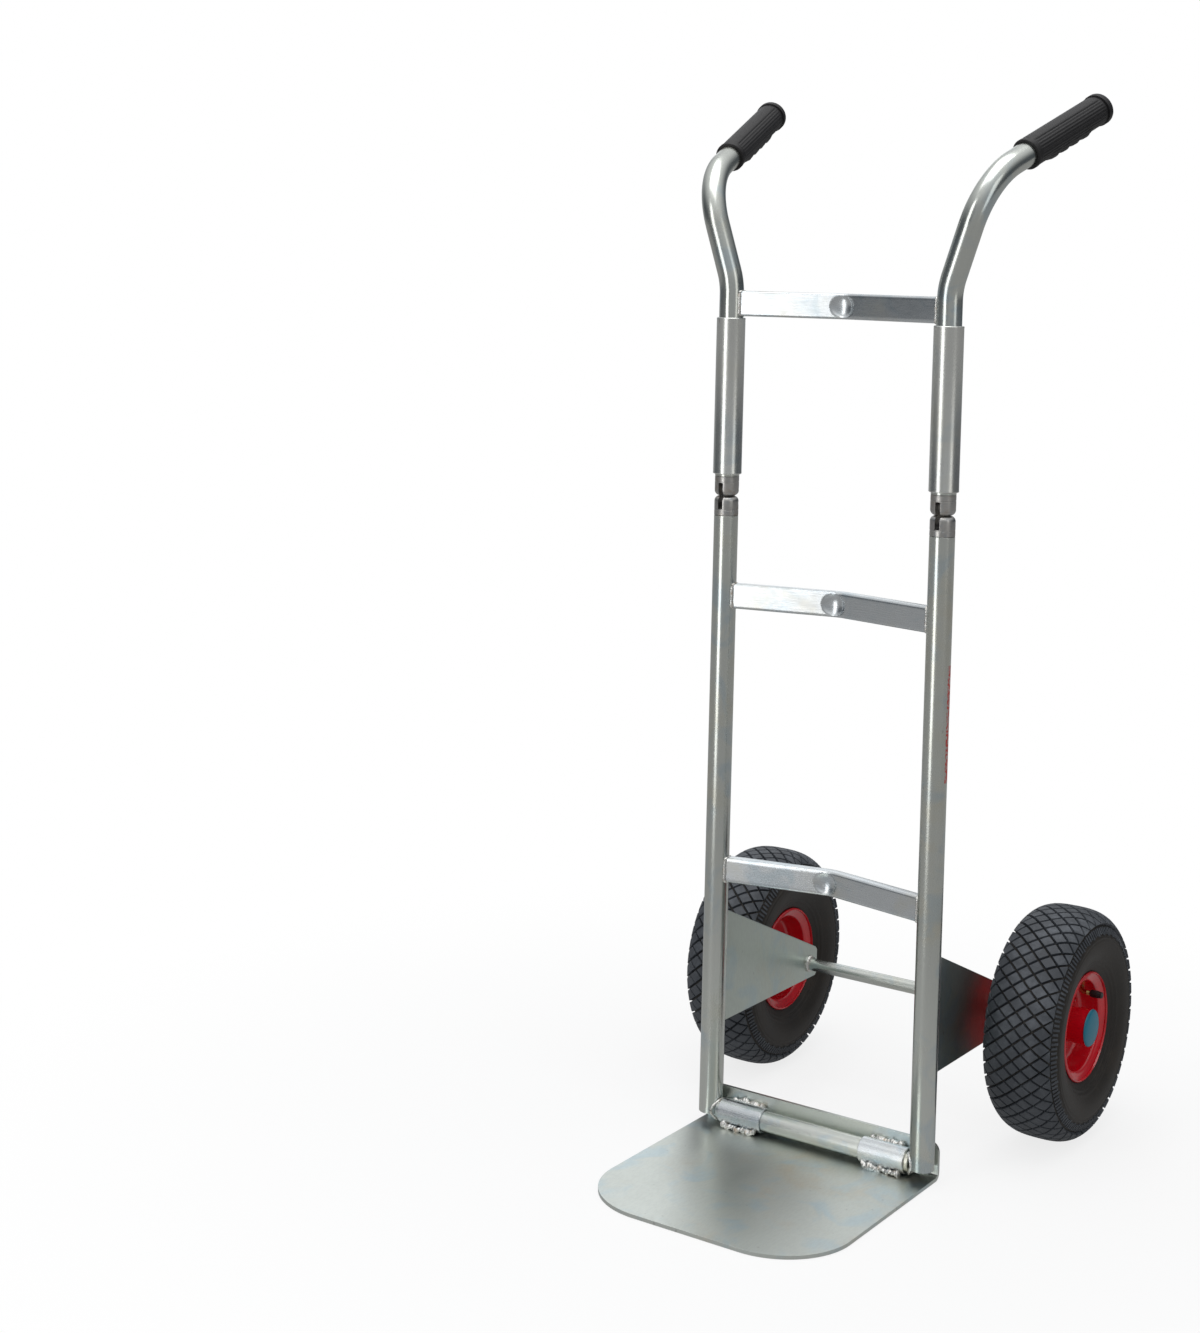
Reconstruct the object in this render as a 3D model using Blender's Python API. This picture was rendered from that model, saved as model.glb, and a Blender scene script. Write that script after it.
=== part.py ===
"""Folding two-wheeled hand truck, at its real size in metres, +Z up.

X runs across the truck, the toe plate points to -Y and the wheels are behind at +Y. The origin is on the
floor, midway between the two uprights. Everything stands in the working position, with both locking
sleeves pushed up their handle tubes, clear of the fold.
"""

import math

import bmesh
import bpy
from mathutils import Matrix, Vector

# --- Clearances ---
WELD_GAP = 0.0003      # between two pieces that are welded or pressed together
RUN_GAP = 0.0003       # radial, between a pin or shaft and what turns on it

# --- Tube stock ---
TUBE_OD = 0.027
TUBE_WALL = 0.002
TRACK = 0.266          # between the axes of the two uprights
BAR_HEIGHT = 0.028
BAR_DEPTH = 0.014
BAR_WALL = 0.0015
BAR_SETBACK = 0.028    # how far the middle of each crossbar is bent to the rear
BAR_BEND_RADIUS = 0.040

# --- Heights of the frame ---
UPRIGHT_FOOT_Z = 0.015
LOWER_BAR_Z = 0.296    # middle of the bar
FOLD_Z = 0.719         # where the two tube ends meet
MIDDLE_BAR_DROP = 0.112    # from the fold down to the middle bar
HANDLE_BAR_RISE = 0.2146   # from the fold up to the handle bar

# --- Folding joint: an end plug in each tube, with a link between two pins ---
PLUG_LENGTH = 0.022
PLUG_EDGE_RADIUS = 0.0058
PLUG_SPIGOT = 0.014
FACE_GAP = 0.0004
PIN_DIAMETER = 0.005
PIN_DEPTH = 0.008      # from the plug's face to the pin
PIN_SETBACK = 0.0078   # from the tube's axis to the pin
LINK_THICKNESS = 0.005
LINK_END_RADIUS = 0.0055
SLOT_DEPTH = 0.0145

# --- Locking sleeves ---
SLEEVE_GAP = 0.0005     # radial, between the sleeve and the tubes
SLEEVE_WALL = 0.002
SLEEVE_LENGTH = 0.174
SLEEVE_TOP_GAP = 0.002  # to the handle crossbar when the sleeve is up

# --- Handle ---
SPLAY_START_RISE = 0.238    # from the fold up to the corner of the first bend
SPLAY_ANGLE = math.radians(18.1)
SPLAY_LENGTH = 0.1185   # along the tube, between the corners of the two bends
GRIP_RISE = math.radians(22.5)
GRIP_TOE_OUT = math.radians(10.3)
REACH = 0.225           # from the second bend's corner to the end of the grip
SPLAY_BEND_RADIUS = 0.080
HANDLE_BEND_RADIUS = 0.080
GRIP_LENGTH = 0.150
GRIP_WALL = 0.0025
GRIP_FLANGE_STEP = 0.0018
GRIP_FLANGE_LENGTH = 0.008
GRIP_END_WALL = 0.003

# --- Toe plate and its hinge ---
PLATE_THICKNESS = 0.004
PLATE_OVERHANG = 0.012    # past the axis of each upright
PLATE_FRONT_Y = -0.263
PLATE_CORNER_RADIUS = 0.082
FLANGE_TOP_Z = 0.041
FLANGE_GAP = 0.0008       # behind the uprights and knuckles
FLANGE_CORNER_RADIUS = 0.012
PLATE_BEND_RADIUS = 0.004
KNUCKLE_SEAT_GAP = 0.001  # above the plate, filled by the weld
TOE_ROD_DIAMETER = 0.023
KNUCKLE_WALL = 0.0022
KNUCKLE_LENGTH = 0.0545
KNUCKLE_END_GAP = 0.003   # to the upright

# --- Axle and its brackets ---
AXLE_DIAMETER = 0.015
AXLE_Y = 0.217
GUSSET_THICKNESS = 0.005
GUSSET_RISE = 0.116     # above the axle, at the upright
GUSSET_DROP = 0.011
GUSSET_TAIL = 0.018     # behind the axle
GUSSET_TAIL_HEIGHT = 0.032
SPACER_WALL = 0.0035
RING_STEP = 0.0055
RING_THICKNESS = 0.0015

# --- Wheels ---
WHEEL_RADIUS = 0.130
WHEEL_GAP = 0.0035      # between an upright and its tyre
TYRE_HALF_WIDTH = 0.043
RIM_RADIUS = 0.060
RIM_HALF_WIDTH = 0.0315
RIM_SHEET = 0.002
HUB_WALL = 0.0025
HUB_LENGTH = 0.074
BEARING_SECTION = 0.010
BEARING_WIDTH = 0.011
BEARING_INSET = 0.008   # from the end of the hub
CAP_STEP = 0.001        # past the hub
CAP_HEIGHT = 0.004
VALVE_SETBACK = 0.018   # from the rim in to the valve
VALVE_ANGLE = math.radians(44)
VALVE_DIAMETER = 0.0056
VALVE_TIP = 0.024       # from the middle of the wheel
VALVE_CAP_DIAMETER = 0.0085
VALVE_CAP_LENGTH = 0.014

# --- How finely round things are divided ---
TUBE_SIDES = 16
WHEEL_SIDES = 28
RIM_SIDES = 24
SMALL_SIDES = 12

SIDES = {"left": -1, "right": 1}
TUBE_RADIUS = TUBE_OD / 2
BORE_RADIUS = TUBE_RADIUS - TUBE_WALL
MIDDLE_BAR_Z = FOLD_Z - MIDDLE_BAR_DROP
HANDLE_BAR_Z = FOLD_Z + HANDLE_BAR_RISE
SPLAY_START_Z = FOLD_Z + SPLAY_START_RISE
UPRIGHT_TOP_Z = FOLD_Z - FACE_GAP / 2 - PLUG_LENGTH
HANDLE_TUBE_Z = FOLD_Z + FACE_GAP / 2 + PLUG_LENGTH
LOWER_PIN_Z = FOLD_Z - FACE_GAP / 2 - PIN_DEPTH
UPPER_PIN_Z = FOLD_Z + FACE_GAP / 2 + PIN_DEPTH
SLEEVE_TOP_Z = HANDLE_BAR_Z - BAR_HEIGHT / 2 - SLEEVE_TOP_GAP
SLEEVE_BORE = TUBE_OD + 2 * SLEEVE_GAP
SLEEVE_OD = SLEEVE_BORE + 2 * SLEEVE_WALL
GRIP_RADIUS = TUBE_RADIUS + GRIP_WALL
GRIP_FLANGE_RADIUS = GRIP_RADIUS + GRIP_FLANGE_STEP
PLATE_WIDTH = TRACK + 2 * PLATE_OVERHANG
KNUCKLE_OD = TOE_ROD_DIAMETER + 2 * (RUN_GAP + KNUCKLE_WALL)
TOE_AXIS_Z = PLATE_THICKNESS + KNUCKLE_SEAT_GAP + KNUCKLE_OD / 2
FLANGE_FACE_Y = max(KNUCKLE_OD / 2, TUBE_RADIUS) + FLANGE_GAP
GUSSET_TOP_Z = WHEEL_RADIUS + GUSSET_RISE
GUSSET_FOOT_Z = WHEEL_RADIUS - GUSSET_DROP
GUSSET_TAIL_Y = AXLE_Y + GUSSET_TAIL
SPACER_OD = AXLE_DIAMETER + 2 * SPACER_WALL
RING_OD = AXLE_DIAMETER + 2 * RING_STEP
WHEEL_X = TRACK / 2 + TUBE_RADIUS + WHEEL_GAP + TYRE_HALF_WIDTH
BEARING_OD = AXLE_DIAMETER + 2 * BEARING_SECTION
HUB_OD = BEARING_OD + 2 * HUB_WALL
CAP_RADIUS = HUB_OD / 2 + CAP_STEP
VALVE_RADIUS = RIM_RADIUS - VALVE_SETBACK
VALVE_WAY = Vector((0, math.cos(VALVE_ANGLE), math.sin(VALVE_ANGLE)))   # from the axle towards the valve


# --- Building blocks ---
def clear_scene():
    for item in list(bpy.data.objects):
        bpy.data.objects.remove(item, do_unlink=True)


def finish(name, colour, roughness, metallic):
    material = bpy.data.materials.new(name)
    material.use_nodes = True
    shader = material.node_tree.nodes["Principled BSDF"]
    shader.inputs["Base Color"].default_value = (*colour, 1)
    shader.inputs["Roughness"].default_value = roughness
    shader.inputs["Metallic"].default_value = metallic
    material.diffuse_color = (*colour, 1)
    return material


def axis_empty(name, place):
    """The empty that a moving body's pieces hang from, on the axis of its joint."""
    empty = bpy.data.objects.new(name, None)
    empty.location = place
    empty.empty_display_size = 0.03
    bpy.context.collection.objects.link(empty)
    return empty


def add_piece(name, mesh_builder, material, body):
    """Makes the object NAME from a bmesh built in world coordinates, hung from its body's empty."""
    bmesh.ops.recalc_face_normals(mesh_builder, faces=mesh_builder.faces)
    mesh = bpy.data.meshes.new(name)
    mesh_builder.to_mesh(mesh)
    mesh_builder.free()
    mesh.transform(Matrix.Translation(-body.location))
    mesh.shade_smooth()
    mesh.set_sharp_from_angle(angle=math.radians(35))
    mesh.materials.append(material)
    piece = bpy.data.objects.new(name, mesh)
    bpy.context.collection.objects.link(piece)
    piece.parent = body
    return piece


def cut(piece, tool_builder, operation="DIFFERENCE"):
    """Cuts a bmesh in world coordinates from the piece, with a hidden object as the cutter."""
    cutter = add_piece(piece.name + "_cutter", tool_builder, piece.data.materials[0], piece.parent)
    cutter.hide_render = True
    cutter.display_type = "WIRE"
    modifier = piece.modifiers.new("cut", "BOOLEAN")
    modifier.operation = operation
    modifier.object = cutter
    modifier.solver = "EXACT"


def bridge_rings(builder, rings, closed):
    """Quads between neighbouring rings of vertices. A closed chain joins its last ring to its first."""
    pairs = list(zip(rings, rings[1:]))
    if closed:
        pairs.append((rings[-1], rings[0]))
    for first, second in pairs:
        count = len(first)
        for i in range(count):
            j = (i + 1) % count
            builder.faces.new((first[i], first[j], second[j], second[i]))


def lathe_x(profile, sides, centre):
    """A ring turned about an axis along X: profile is a closed outline of (x, radius), clear of the axis."""
    builder = bmesh.new()
    rings = []
    for step in range(sides):
        angle = 2 * math.pi * step / sides - math.pi / 2
        across, up = math.cos(angle), math.sin(angle)
        rings.append([
            builder.verts.new((centre[0] + x, centre[1] + radius * across, centre[2] + radius * up))
            for x, radius in profile
        ])
    bridge_rings(builder, rings, closed=True)
    return builder


def close_ends(builder, rings):
    """A solid body from a chain of rings: quads between them and a flat face on each end."""
    bridge_rings(builder, rings, closed=False)
    builder.faces.new(rings[0])
    builder.faces.new(rings[-1])


def bar_between(start, end, radius, sides):
    """A solid round bar from start to end."""
    start, end = Vector(start), Vector(end)
    builder = bmesh.new()
    turn = (end - start).to_track_quat("Z", "Y").to_matrix().to_4x4()
    bmesh.ops.create_cone(
        builder, cap_ends=True, segments=sides, radius1=radius, radius2=radius,
        depth=(end - start).length, matrix=Matrix.Translation((start + end) / 2) @ turn,
    )
    return builder


def box_between(low, high):
    low, high = Vector(low), Vector(high)
    builder = bmesh.new()
    size = Matrix.Diagonal((*(high - low), 1))
    bmesh.ops.create_cube(builder, size=1, matrix=Matrix.Translation((low + high) / 2) @ size)
    return builder


def circle_section(radius, sides):
    return [
        (radius * math.cos(2 * math.pi * i / sides), radius * math.sin(2 * math.pi * i / sides))
        for i in range(sides)
    ]


def box_section(depth, height, corner):
    """An oblong with cut corners, in (across, up)."""
    half_depth, half_height = depth / 2, height / 2
    return [
        (half_depth, half_height - corner), (half_depth - corner, half_height),
        (corner - half_depth, half_height), (-half_depth, half_height - corner),
        (-half_depth, corner - half_height), (corner - half_depth, -half_height),
        (half_depth - corner, -half_height), (half_depth, corner - half_height),
    ]


def rounded_path(corners, radii, step_angle):
    """The corners as (point, direction) pairs, with each inner corner turned into an arc of its radius."""
    corners = [Vector(corner) for corner in corners]
    path = [(corners[0], (corners[1] - corners[0]).normalized())]
    for before, corner, after, radius in zip(corners, corners[1:], corners[2:], radii):
        into, out = (corner - before).normalized(), (after - corner).normalized()
        turn = into.angle(out)
        start = corner - into * radius * math.tan(turn / 2)
        axis = into.cross(out).normalized()
        centre = start + axis.cross(into) * radius
        steps = max(2, round(turn / step_angle))
        for i in range(steps + 1):
            spin = Matrix.Rotation(turn * i / steps, 3, axis)
            path.append((centre + spin @ (start - centre), spin @ into))
    path.append((corners[-1], (corners[-1] - corners[-2]).normalized()))
    return path


def hollow_sweep(path, outer, inner, side):
    """An open-ended hollow tube: the outer and inner sections carried along the path. `side` is a direction
    square to the whole path's start, from which the sections are turned with the path."""
    builder = bmesh.new()
    across = Vector(side)
    outer_rings, inner_rings = [], []
    for point, along in path:
        across = (across - along * across.dot(along)).normalized()
        up = along.cross(across)
        outer_rings.append([builder.verts.new(point + across * u + up * v) for u, v in outer])
        inner_rings.append([builder.verts.new(point + across * u + up * v) for u, v in inner])
    bridge_rings(builder, outer_rings + inner_rings[::-1], closed=True)
    return builder


def thickened(line, sheet):
    """The closed outline of a sheet of this thickness whose middle follows the open line."""
    points = [Vector(point) for point in line]
    runs = [(after - before).normalized() for before, after in zip(points, points[1:])]
    one_side, other_side = [], []
    for point, first, second in zip(points, runs[:1] + runs, runs + runs[-1:]):
        middle = (first + second).normalized()
        normal = Vector((-middle.y, middle.x)) * (sheet / 2 / middle.dot(first))
        one_side.append((point + normal)[:])
        other_side.append((point - normal)[:])
    return one_side + other_side[::-1]


# --- Lower frame ---
def straight_tube(x, low, high, outer_radius, bore_radius, sides):
    path = [(Vector((x, 0, low)), Vector((0, 0, 1))), (Vector((x, 0, high)), Vector((0, 0, 1)))]
    outer, inner = circle_section(outer_radius, sides), circle_section(bore_radius, sides)
    return hollow_sweep(path, outer, inner, (1, 0, 0))


def crossbar(name, middle_z, material, body):
    """A box-section bar bent to the rear in its middle, with its ends cut to sit round the two tubes."""
    half = TRACK / 2
    corners = [(-half, 0, middle_z), (0, BAR_SETBACK, middle_z), (half, 0, middle_z)]
    path = rounded_path(corners, [BAR_BEND_RADIUS], math.radians(8))
    outer = box_section(BAR_DEPTH, BAR_HEIGHT, 0.0025)
    inner = box_section(BAR_DEPTH - 2 * BAR_WALL, BAR_HEIGHT - 2 * BAR_WALL, 0.0012)
    bar = add_piece(name, hollow_sweep(path, outer, inner, (0, -1, 0)), material, body)
    for sign in SIDES.values():
        reach = BAR_HEIGHT
        tube = bar_between((sign * half, 0, middle_z - reach), (sign * half, 0, middle_z + reach),
                           TUBE_RADIUS + WELD_GAP, TUBE_SIDES)
        cut(bar, tube)
        beyond = box_between((sign * half - BAR_DEPTH * (sign < 0), -reach, middle_z - reach),
                             (sign * half + BAR_DEPTH * (sign > 0), reach, middle_z + reach))
        cut(bar, beyond)
    return bar


def end_plug(name, x, face_z, direction, material, body):
    """A plug that closes a tube at the fold: a rounded head, a spigot in the bore, and a slot and pin hole."""
    radius, edge = TUBE_RADIUS, PLUG_EDGE_RADIUS
    outline = []
    for i in range(4):
        angle = math.pi / 2 * i / 3
        outline.append((edge * (1 - math.cos(angle)), radius - edge * (1 - math.sin(angle))))
    outline += [(PLUG_LENGTH - WELD_GAP, radius), (PLUG_LENGTH - WELD_GAP, BORE_RADIUS - WELD_GAP),
                (PLUG_LENGTH + PLUG_SPIGOT, BORE_RADIUS - WELD_GAP)]
    builder = bmesh.new()
    rings = []
    for depth, ring_radius in outline:
        rings.append([builder.verts.new((x + u, v, face_z - direction * depth))
                      for u, v in circle_section(ring_radius, TUBE_SIDES)])
    close_ends(builder, rings)
    plug = add_piece(name, builder, material, body)
    slot = LINK_THICKNESS / 2 + RUN_GAP
    ends = sorted((face_z + direction * radius, face_z - direction * SLOT_DEPTH))
    cut(plug, box_between((x - slot, -TUBE_OD, ends[0]), (x + slot, TUBE_OD, ends[1])))
    pin_z = face_z - direction * PIN_DEPTH
    cut(plug, bar_between((x - TUBE_OD, PIN_SETBACK, pin_z), (x + TUBE_OD, PIN_SETBACK, pin_z),
                          PIN_DIAMETER / 2 + RUN_GAP, SMALL_SIDES))
    return plug


def hinge_pin(name, x, z, material, body):
    half = math.sqrt(TUBE_RADIUS ** 2 - (PIN_SETBACK + PIN_DIAMETER / 2) ** 2) - WELD_GAP
    pin = bar_between((x - half, PIN_SETBACK, z), (x + half, PIN_SETBACK, z), PIN_DIAMETER / 2, SMALL_SIDES)
    return add_piece(name, pin, material, body)


def hinge_link(name, x, material, body):
    """The flat link between the two pins of one fold, standing upright in the slots of the plugs."""
    steps = 6
    outline = []
    for centre_z, start in ((UPPER_PIN_Z, 0), (LOWER_PIN_Z, math.pi)):
        for i in range(steps + 1):
            angle = start + math.pi * i / steps
            outline.append((PIN_SETBACK + LINK_END_RADIUS * math.cos(angle),
                            centre_z + LINK_END_RADIUS * math.sin(angle)))
    link = add_piece(name, upright_plate(outline, x, LINK_THICKNESS), material, body)
    for pin_z in (LOWER_PIN_Z, UPPER_PIN_Z):
        cut(link, bar_between((x - TUBE_OD, PIN_SETBACK, pin_z), (x + TUBE_OD, PIN_SETBACK, pin_z),
                              PIN_DIAMETER / 2 + RUN_GAP, SMALL_SIDES))
    return link


def upright_plate(outline, x, thickness):
    """A flat plate standing along the truck: its outline is in (y, z), its middle at this x."""
    builder = bmesh.new()
    rings = [
        [builder.verts.new((x + offset, y, z)) for y, z in outline]
        for offset in (-thickness / 2, thickness / 2)
    ]
    close_ends(builder, rings)
    return builder


def gusset(name, x, material, body):
    """The plate that carries the axle behind an upright: tall at the tube and narrow at its tail."""
    root_y = TUBE_RADIUS + WELD_GAP
    tail = GUSSET_TAIL_HEIGHT / 2
    outline = [(root_y, GUSSET_FOOT_Z), (GUSSET_TAIL_Y, WHEEL_RADIUS - tail),
               (GUSSET_TAIL_Y, WHEEL_RADIUS + tail), (root_y, GUSSET_TOP_Z)]
    plate = add_piece(name, upright_plate(outline, x, GUSSET_THICKNESS), material, body)
    hole = bar_between((x - TUBE_OD, AXLE_Y, WHEEL_RADIUS), (x + TUBE_OD, AXLE_Y, WHEEL_RADIUS),
                       AXLE_DIAMETER / 2 + WELD_GAP, TUBE_SIDES)
    cut(plate, hole)
    return plate


def toe_rod(material, body):
    """The fixed rod between the uprights on which the toe plate's knuckles turn."""
    half = TRACK / 2
    rod = bar_between((-half, 0, TOE_AXIS_Z), (half, 0, TOE_AXIS_Z), TOE_ROD_DIAMETER / 2, TUBE_SIDES)
    rod = add_piece("toe_rod", rod, material, body)
    for sign in SIDES.values():
        cut(rod, bar_between((sign * half, 0, -TUBE_OD), (sign * half, 0, TUBE_OD + 2 * TOE_AXIS_Z),
                             TUBE_RADIUS + WELD_GAP, TUBE_SIDES))
    return rod


def toe_plate(material, body):
    """One bent sheet: a flat blade on the floor with round front corners, and a flange behind the uprights."""
    half_sheet = PLATE_THICKNESS / 2
    bend = PLATE_BEND_RADIUS + half_sheet
    flange_y = FLANGE_FACE_Y + half_sheet
    corner_steps, bend_steps = 8, 3
    half_width, corner = PLATE_WIDTH / 2, PLATE_CORNER_RADIUS
    rows = []
    for i in range(corner_steps + 1):
        angle = math.pi / 2 * i / corner_steps
        rows.append((PLATE_FRONT_Y + corner * (1 - math.cos(angle)), half_sheet,
                     half_width - corner * (1 - math.sin(angle)), Vector((0, 1))))
    for i in range(bend_steps + 1):
        angle = math.pi / 2 * i / bend_steps
        rows.append((flange_y - bend * (1 - math.sin(angle)), half_sheet + bend * (1 - math.cos(angle)),
                     half_width, Vector((-math.sin(angle), math.cos(angle)))))
    for i in range(corner_steps // 2 + 1):
        angle = math.pi / 2 * i / (corner_steps // 2)
        rows.append((flange_y, FLANGE_TOP_Z - FLANGE_CORNER_RADIUS * (1 - math.sin(angle)),
                     half_width - FLANGE_CORNER_RADIUS * (1 - math.cos(angle)), Vector((-1, 0))))
    builder = bmesh.new()
    rings = []
    for y, z, reach, normal in rows:
        inside, outside = Vector((y, z)) + normal * half_sheet, Vector((y, z)) - normal * half_sheet
        rings.append([builder.verts.new(place) for place in (
            (-reach, *inside), (reach, *inside), (reach, *outside), (-reach, *outside))])
    close_ends(builder, rings)
    return add_piece("toe_plate", builder, material, body)


def ring_about_x(x_from, x_to, bore_radius, outer_radius, sides, centre):
    outline = [(x_from, bore_radius), (x_to, bore_radius), (x_to, outer_radius), (x_from, outer_radius)]
    return lathe_x(outline, sides, centre)


# --- Handle ---
def handle_corners(sign):
    """Where the handle tube's straight runs meet, from the fold up to the grip's end."""
    half = TRACK / 2
    first = Vector((sign * half, 0, SPLAY_START_Z))
    second = first + SPLAY_LENGTH * Vector((sign * math.sin(SPLAY_ANGLE), 0, math.cos(SPLAY_ANGLE)))
    end = second + REACH * grip_direction(sign)
    return Vector((sign * half, 0, HANDLE_TUBE_Z)), first, second, end


def grip_direction(sign):
    return Vector((
        sign * math.cos(GRIP_RISE) * math.sin(GRIP_TOE_OUT),
        math.cos(GRIP_RISE) * math.cos(GRIP_TOE_OUT),
        math.sin(GRIP_RISE),
    ))


def handle_tube(name, sign, material, body):
    start, first, second, end = handle_corners(sign)
    end = end - grip_direction(sign) * (GRIP_END_WALL + WELD_GAP)
    path = rounded_path([start, first, second, end], [SPLAY_BEND_RADIUS, HANDLE_BEND_RADIUS],
                        math.radians(13))
    outer, inner = circle_section(TUBE_RADIUS, TUBE_SIDES), circle_section(BORE_RADIUS, TUBE_SIDES)
    return add_piece(name, hollow_sweep(path, outer, inner, (1, 0, 0)), material, body)


def handle_grip(name, sign, material, body):
    """A closed rubber grip over the tube's end, with a flange round its mouth and one round its end."""
    along = grip_direction(sign)
    end = handle_corners(sign)[3]
    bore = TUBE_RADIUS + WELD_GAP
    flange = GRIP_FLANGE_LENGTH
    outline = [
        (GRIP_LENGTH, GRIP_RADIUS + 0.001), (GRIP_LENGTH - 0.004, GRIP_RADIUS + 0.001),
        (GRIP_LENGTH - 0.006, GRIP_RADIUS), (flange + 0.004, GRIP_RADIUS), (flange, GRIP_FLANGE_RADIUS),
        (0.003, GRIP_FLANGE_RADIUS), (0, GRIP_FLANGE_RADIUS - 0.004),
    ]
    across = Vector((0, 0, 1)).cross(along).normalized()
    up = along.cross(across)
    builder = bmesh.new()

    def ring(depth, radius):
        return [builder.verts.new(end - along * depth + across * u + up * v)
                for u, v in circle_section(radius, TUBE_SIDES)]

    inside = [ring(GRIP_END_WALL, bore), ring(GRIP_LENGTH, bore)]
    outside = [ring(depth, radius) for depth, radius in outline]
    close_ends(builder, inside + outside)
    return add_piece(name, builder, material, body)


# --- Wheels ---
def tyre_outline():
    """The tyre's section as (x, radius): a carcass of even wall, open between its two beads."""
    half, outer = TYRE_HALF_WIDTH, WHEEL_RADIUS
    bead = RIM_RADIUS - 0.0055
    depth = outer - bead
    middle = [(0.57, 0.0), (0.66, 0.07), (0.74, 0.16), (0.95, 0.38), (1.0, 0.60), (0.92, 0.84), (0.70, 0.96)]
    right = [(across * half, bead + up * depth) for across, up in middle]
    skin = right + [(0, outer)] + [(-x, radius) for x, radius in right[::-1]]
    inner = [(0.38, 0.0), (0.56, 0.18), (0.81, 0.40), (0.86, 0.60), (0.77, 0.80), (0.50, 0.89)]
    hollow = [(across * half, bead + up * depth) for across, up in inner]
    lining = hollow + [(-x, radius) for x, radius in hollow[::-1]]
    return skin + lining[::-1]


def inner_tube_outline(inset):
    """The inner tube's section, filling the tyre: inset is how far inside its outer skin."""
    half_height, half_width = (WHEEL_RADIUS - RIM_RADIUS) / 2 - 0.008, TYRE_HALF_WIDTH - 0.015
    middle = RIM_RADIUS + half_height
    count = 8
    return [
        ((half_width - inset) * math.cos(2 * math.pi * i / count),
         middle + (half_height - inset) * math.sin(2 * math.pi * i / count))
        for i in range(count)
    ]


def inner_tube(name, centre, material, body):
    """A hollow ring of thin rubber, open only where the valve leaves it."""
    builder = bmesh.new()
    for inset in (0, 0.0025):
        rings = []
        for step in range(SMALL_SIDES + 4):
            angle = 2 * math.pi * step / (SMALL_SIDES + 4)
            rings.append([
                builder.verts.new((centre[0] + x, centre[1] + radius * math.cos(angle),
                                   centre[2] + radius * math.sin(angle)))
                for x, radius in inner_tube_outline(inset)
            ])
        bridge_rings(builder, rings, closed=True)
    tube = add_piece(name, builder, material, body)
    start = Vector(centre) + VALVE_WAY * VALVE_RADIUS
    cut(tube, bar_between(start, Vector(centre) + VALVE_WAY * (WHEEL_RADIUS + RIM_RADIUS - 0.016) / 2, 0.004, 8))
    return tube


def rim_half_outline(sign):
    """Half a pressed rim: lip, bead seat, and a dish that runs in to the hub."""
    seam = RIM_SHEET / 2 + WELD_GAP / 2
    bead_seat = RIM_RADIUS - 0.009
    line = [
        (RIM_HALF_WIDTH, RIM_RADIUS), (RIM_HALF_WIDTH - 0.006, bead_seat), (seam + 0.003, bead_seat - 0.003),
        (seam, bead_seat - 0.007), (seam, 0.034), (seam + 0.004, 0.028), (seam + 0.004, HUB_OD / 2 + WELD_GAP),
    ]
    return thickened([(sign * x, radius) for x, radius in line], RIM_SHEET)


def rim_half(name, centre, sign, valve_hole, material, body):
    half = add_piece(name, lathe_x(rim_half_outline(sign), RIM_SIDES, centre), material, body)
    if valve_hole:
        start = Vector(centre) + VALVE_WAY * (VALVE_RADIUS + 0.001) + Vector((sign * 0.0115, 0, 0))
        cut(half, bar_between(start, start + VALVE_WAY * 0.014, VALVE_DIAMETER / 2 + 0.0006, 10))
    return half


def valve(name, centre, sign, material, body):
    """The valve's stem: out of the rim towards the hub, and round to point outwards."""
    middle = Vector(centre)
    base = middle + Vector((sign * 0.0115, 0, 0)) + VALVE_WAY * (RIM_RADIUS - 0.0015)
    corner = middle + Vector((sign * 0.0115, 0, 0)) + VALVE_WAY * VALVE_RADIUS
    tip = middle + Vector((sign * VALVE_TIP, 0, 0)) + VALVE_WAY * VALVE_RADIUS
    path = rounded_path([base, corner, tip], [0.006], math.radians(18))
    builder = bmesh.new()
    across = Vector((sign, 0, 0))
    rings = []
    for point, along in path:
        across = (across - along * across.dot(along)).normalized()
        up = along.cross(across)
        rings.append([builder.verts.new(point + across * u + up * v)
                      for u, v in circle_section(VALVE_DIAMETER / 2, 10)])
    close_ends(builder, rings)
    return add_piece(name, builder, material, body)


def valve_cap(name, centre, sign, material, body):
    start = Vector(centre) + Vector((sign * (VALVE_TIP + WELD_GAP), 0, 0)) + VALVE_WAY * VALVE_RADIUS
    end = start + Vector((sign * VALVE_CAP_LENGTH, 0, 0))
    return add_piece(name, bar_between(start, end, VALVE_CAP_DIAMETER / 2, 12), material, body)


def hub_cap(name, centre, sign, material, body):
    """The shallow domed cap that closes the outer end of the hub, held by a skirt in the hub's bore."""
    face = HUB_LENGTH / 2 + WELD_GAP
    skirt = BEARING_OD / 2 - WELD_GAP
    builder = bmesh.new()
    outline = [
        (face + 0.0012, 0.003), (face + 0.0012, skirt - 0.0012), (face - 0.004, skirt - 0.0012),
        (face - 0.004, skirt), (face, skirt), (face, CAP_RADIUS), (face + 0.0012, CAP_RADIUS),
        (face + 0.6 * CAP_HEIGHT, 0.8 * CAP_RADIUS), (face + CAP_HEIGHT, 0.35 * CAP_RADIUS),
    ]
    rings = []
    for depth, radius in outline:
        rings.append([builder.verts.new((centre[0] + sign * depth, centre[1] + u, centre[2] + v))
                      for u, v in circle_section(radius, TUBE_SIDES)])
    close_ends(builder, rings)
    return add_piece(name, builder, material, body)


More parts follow.
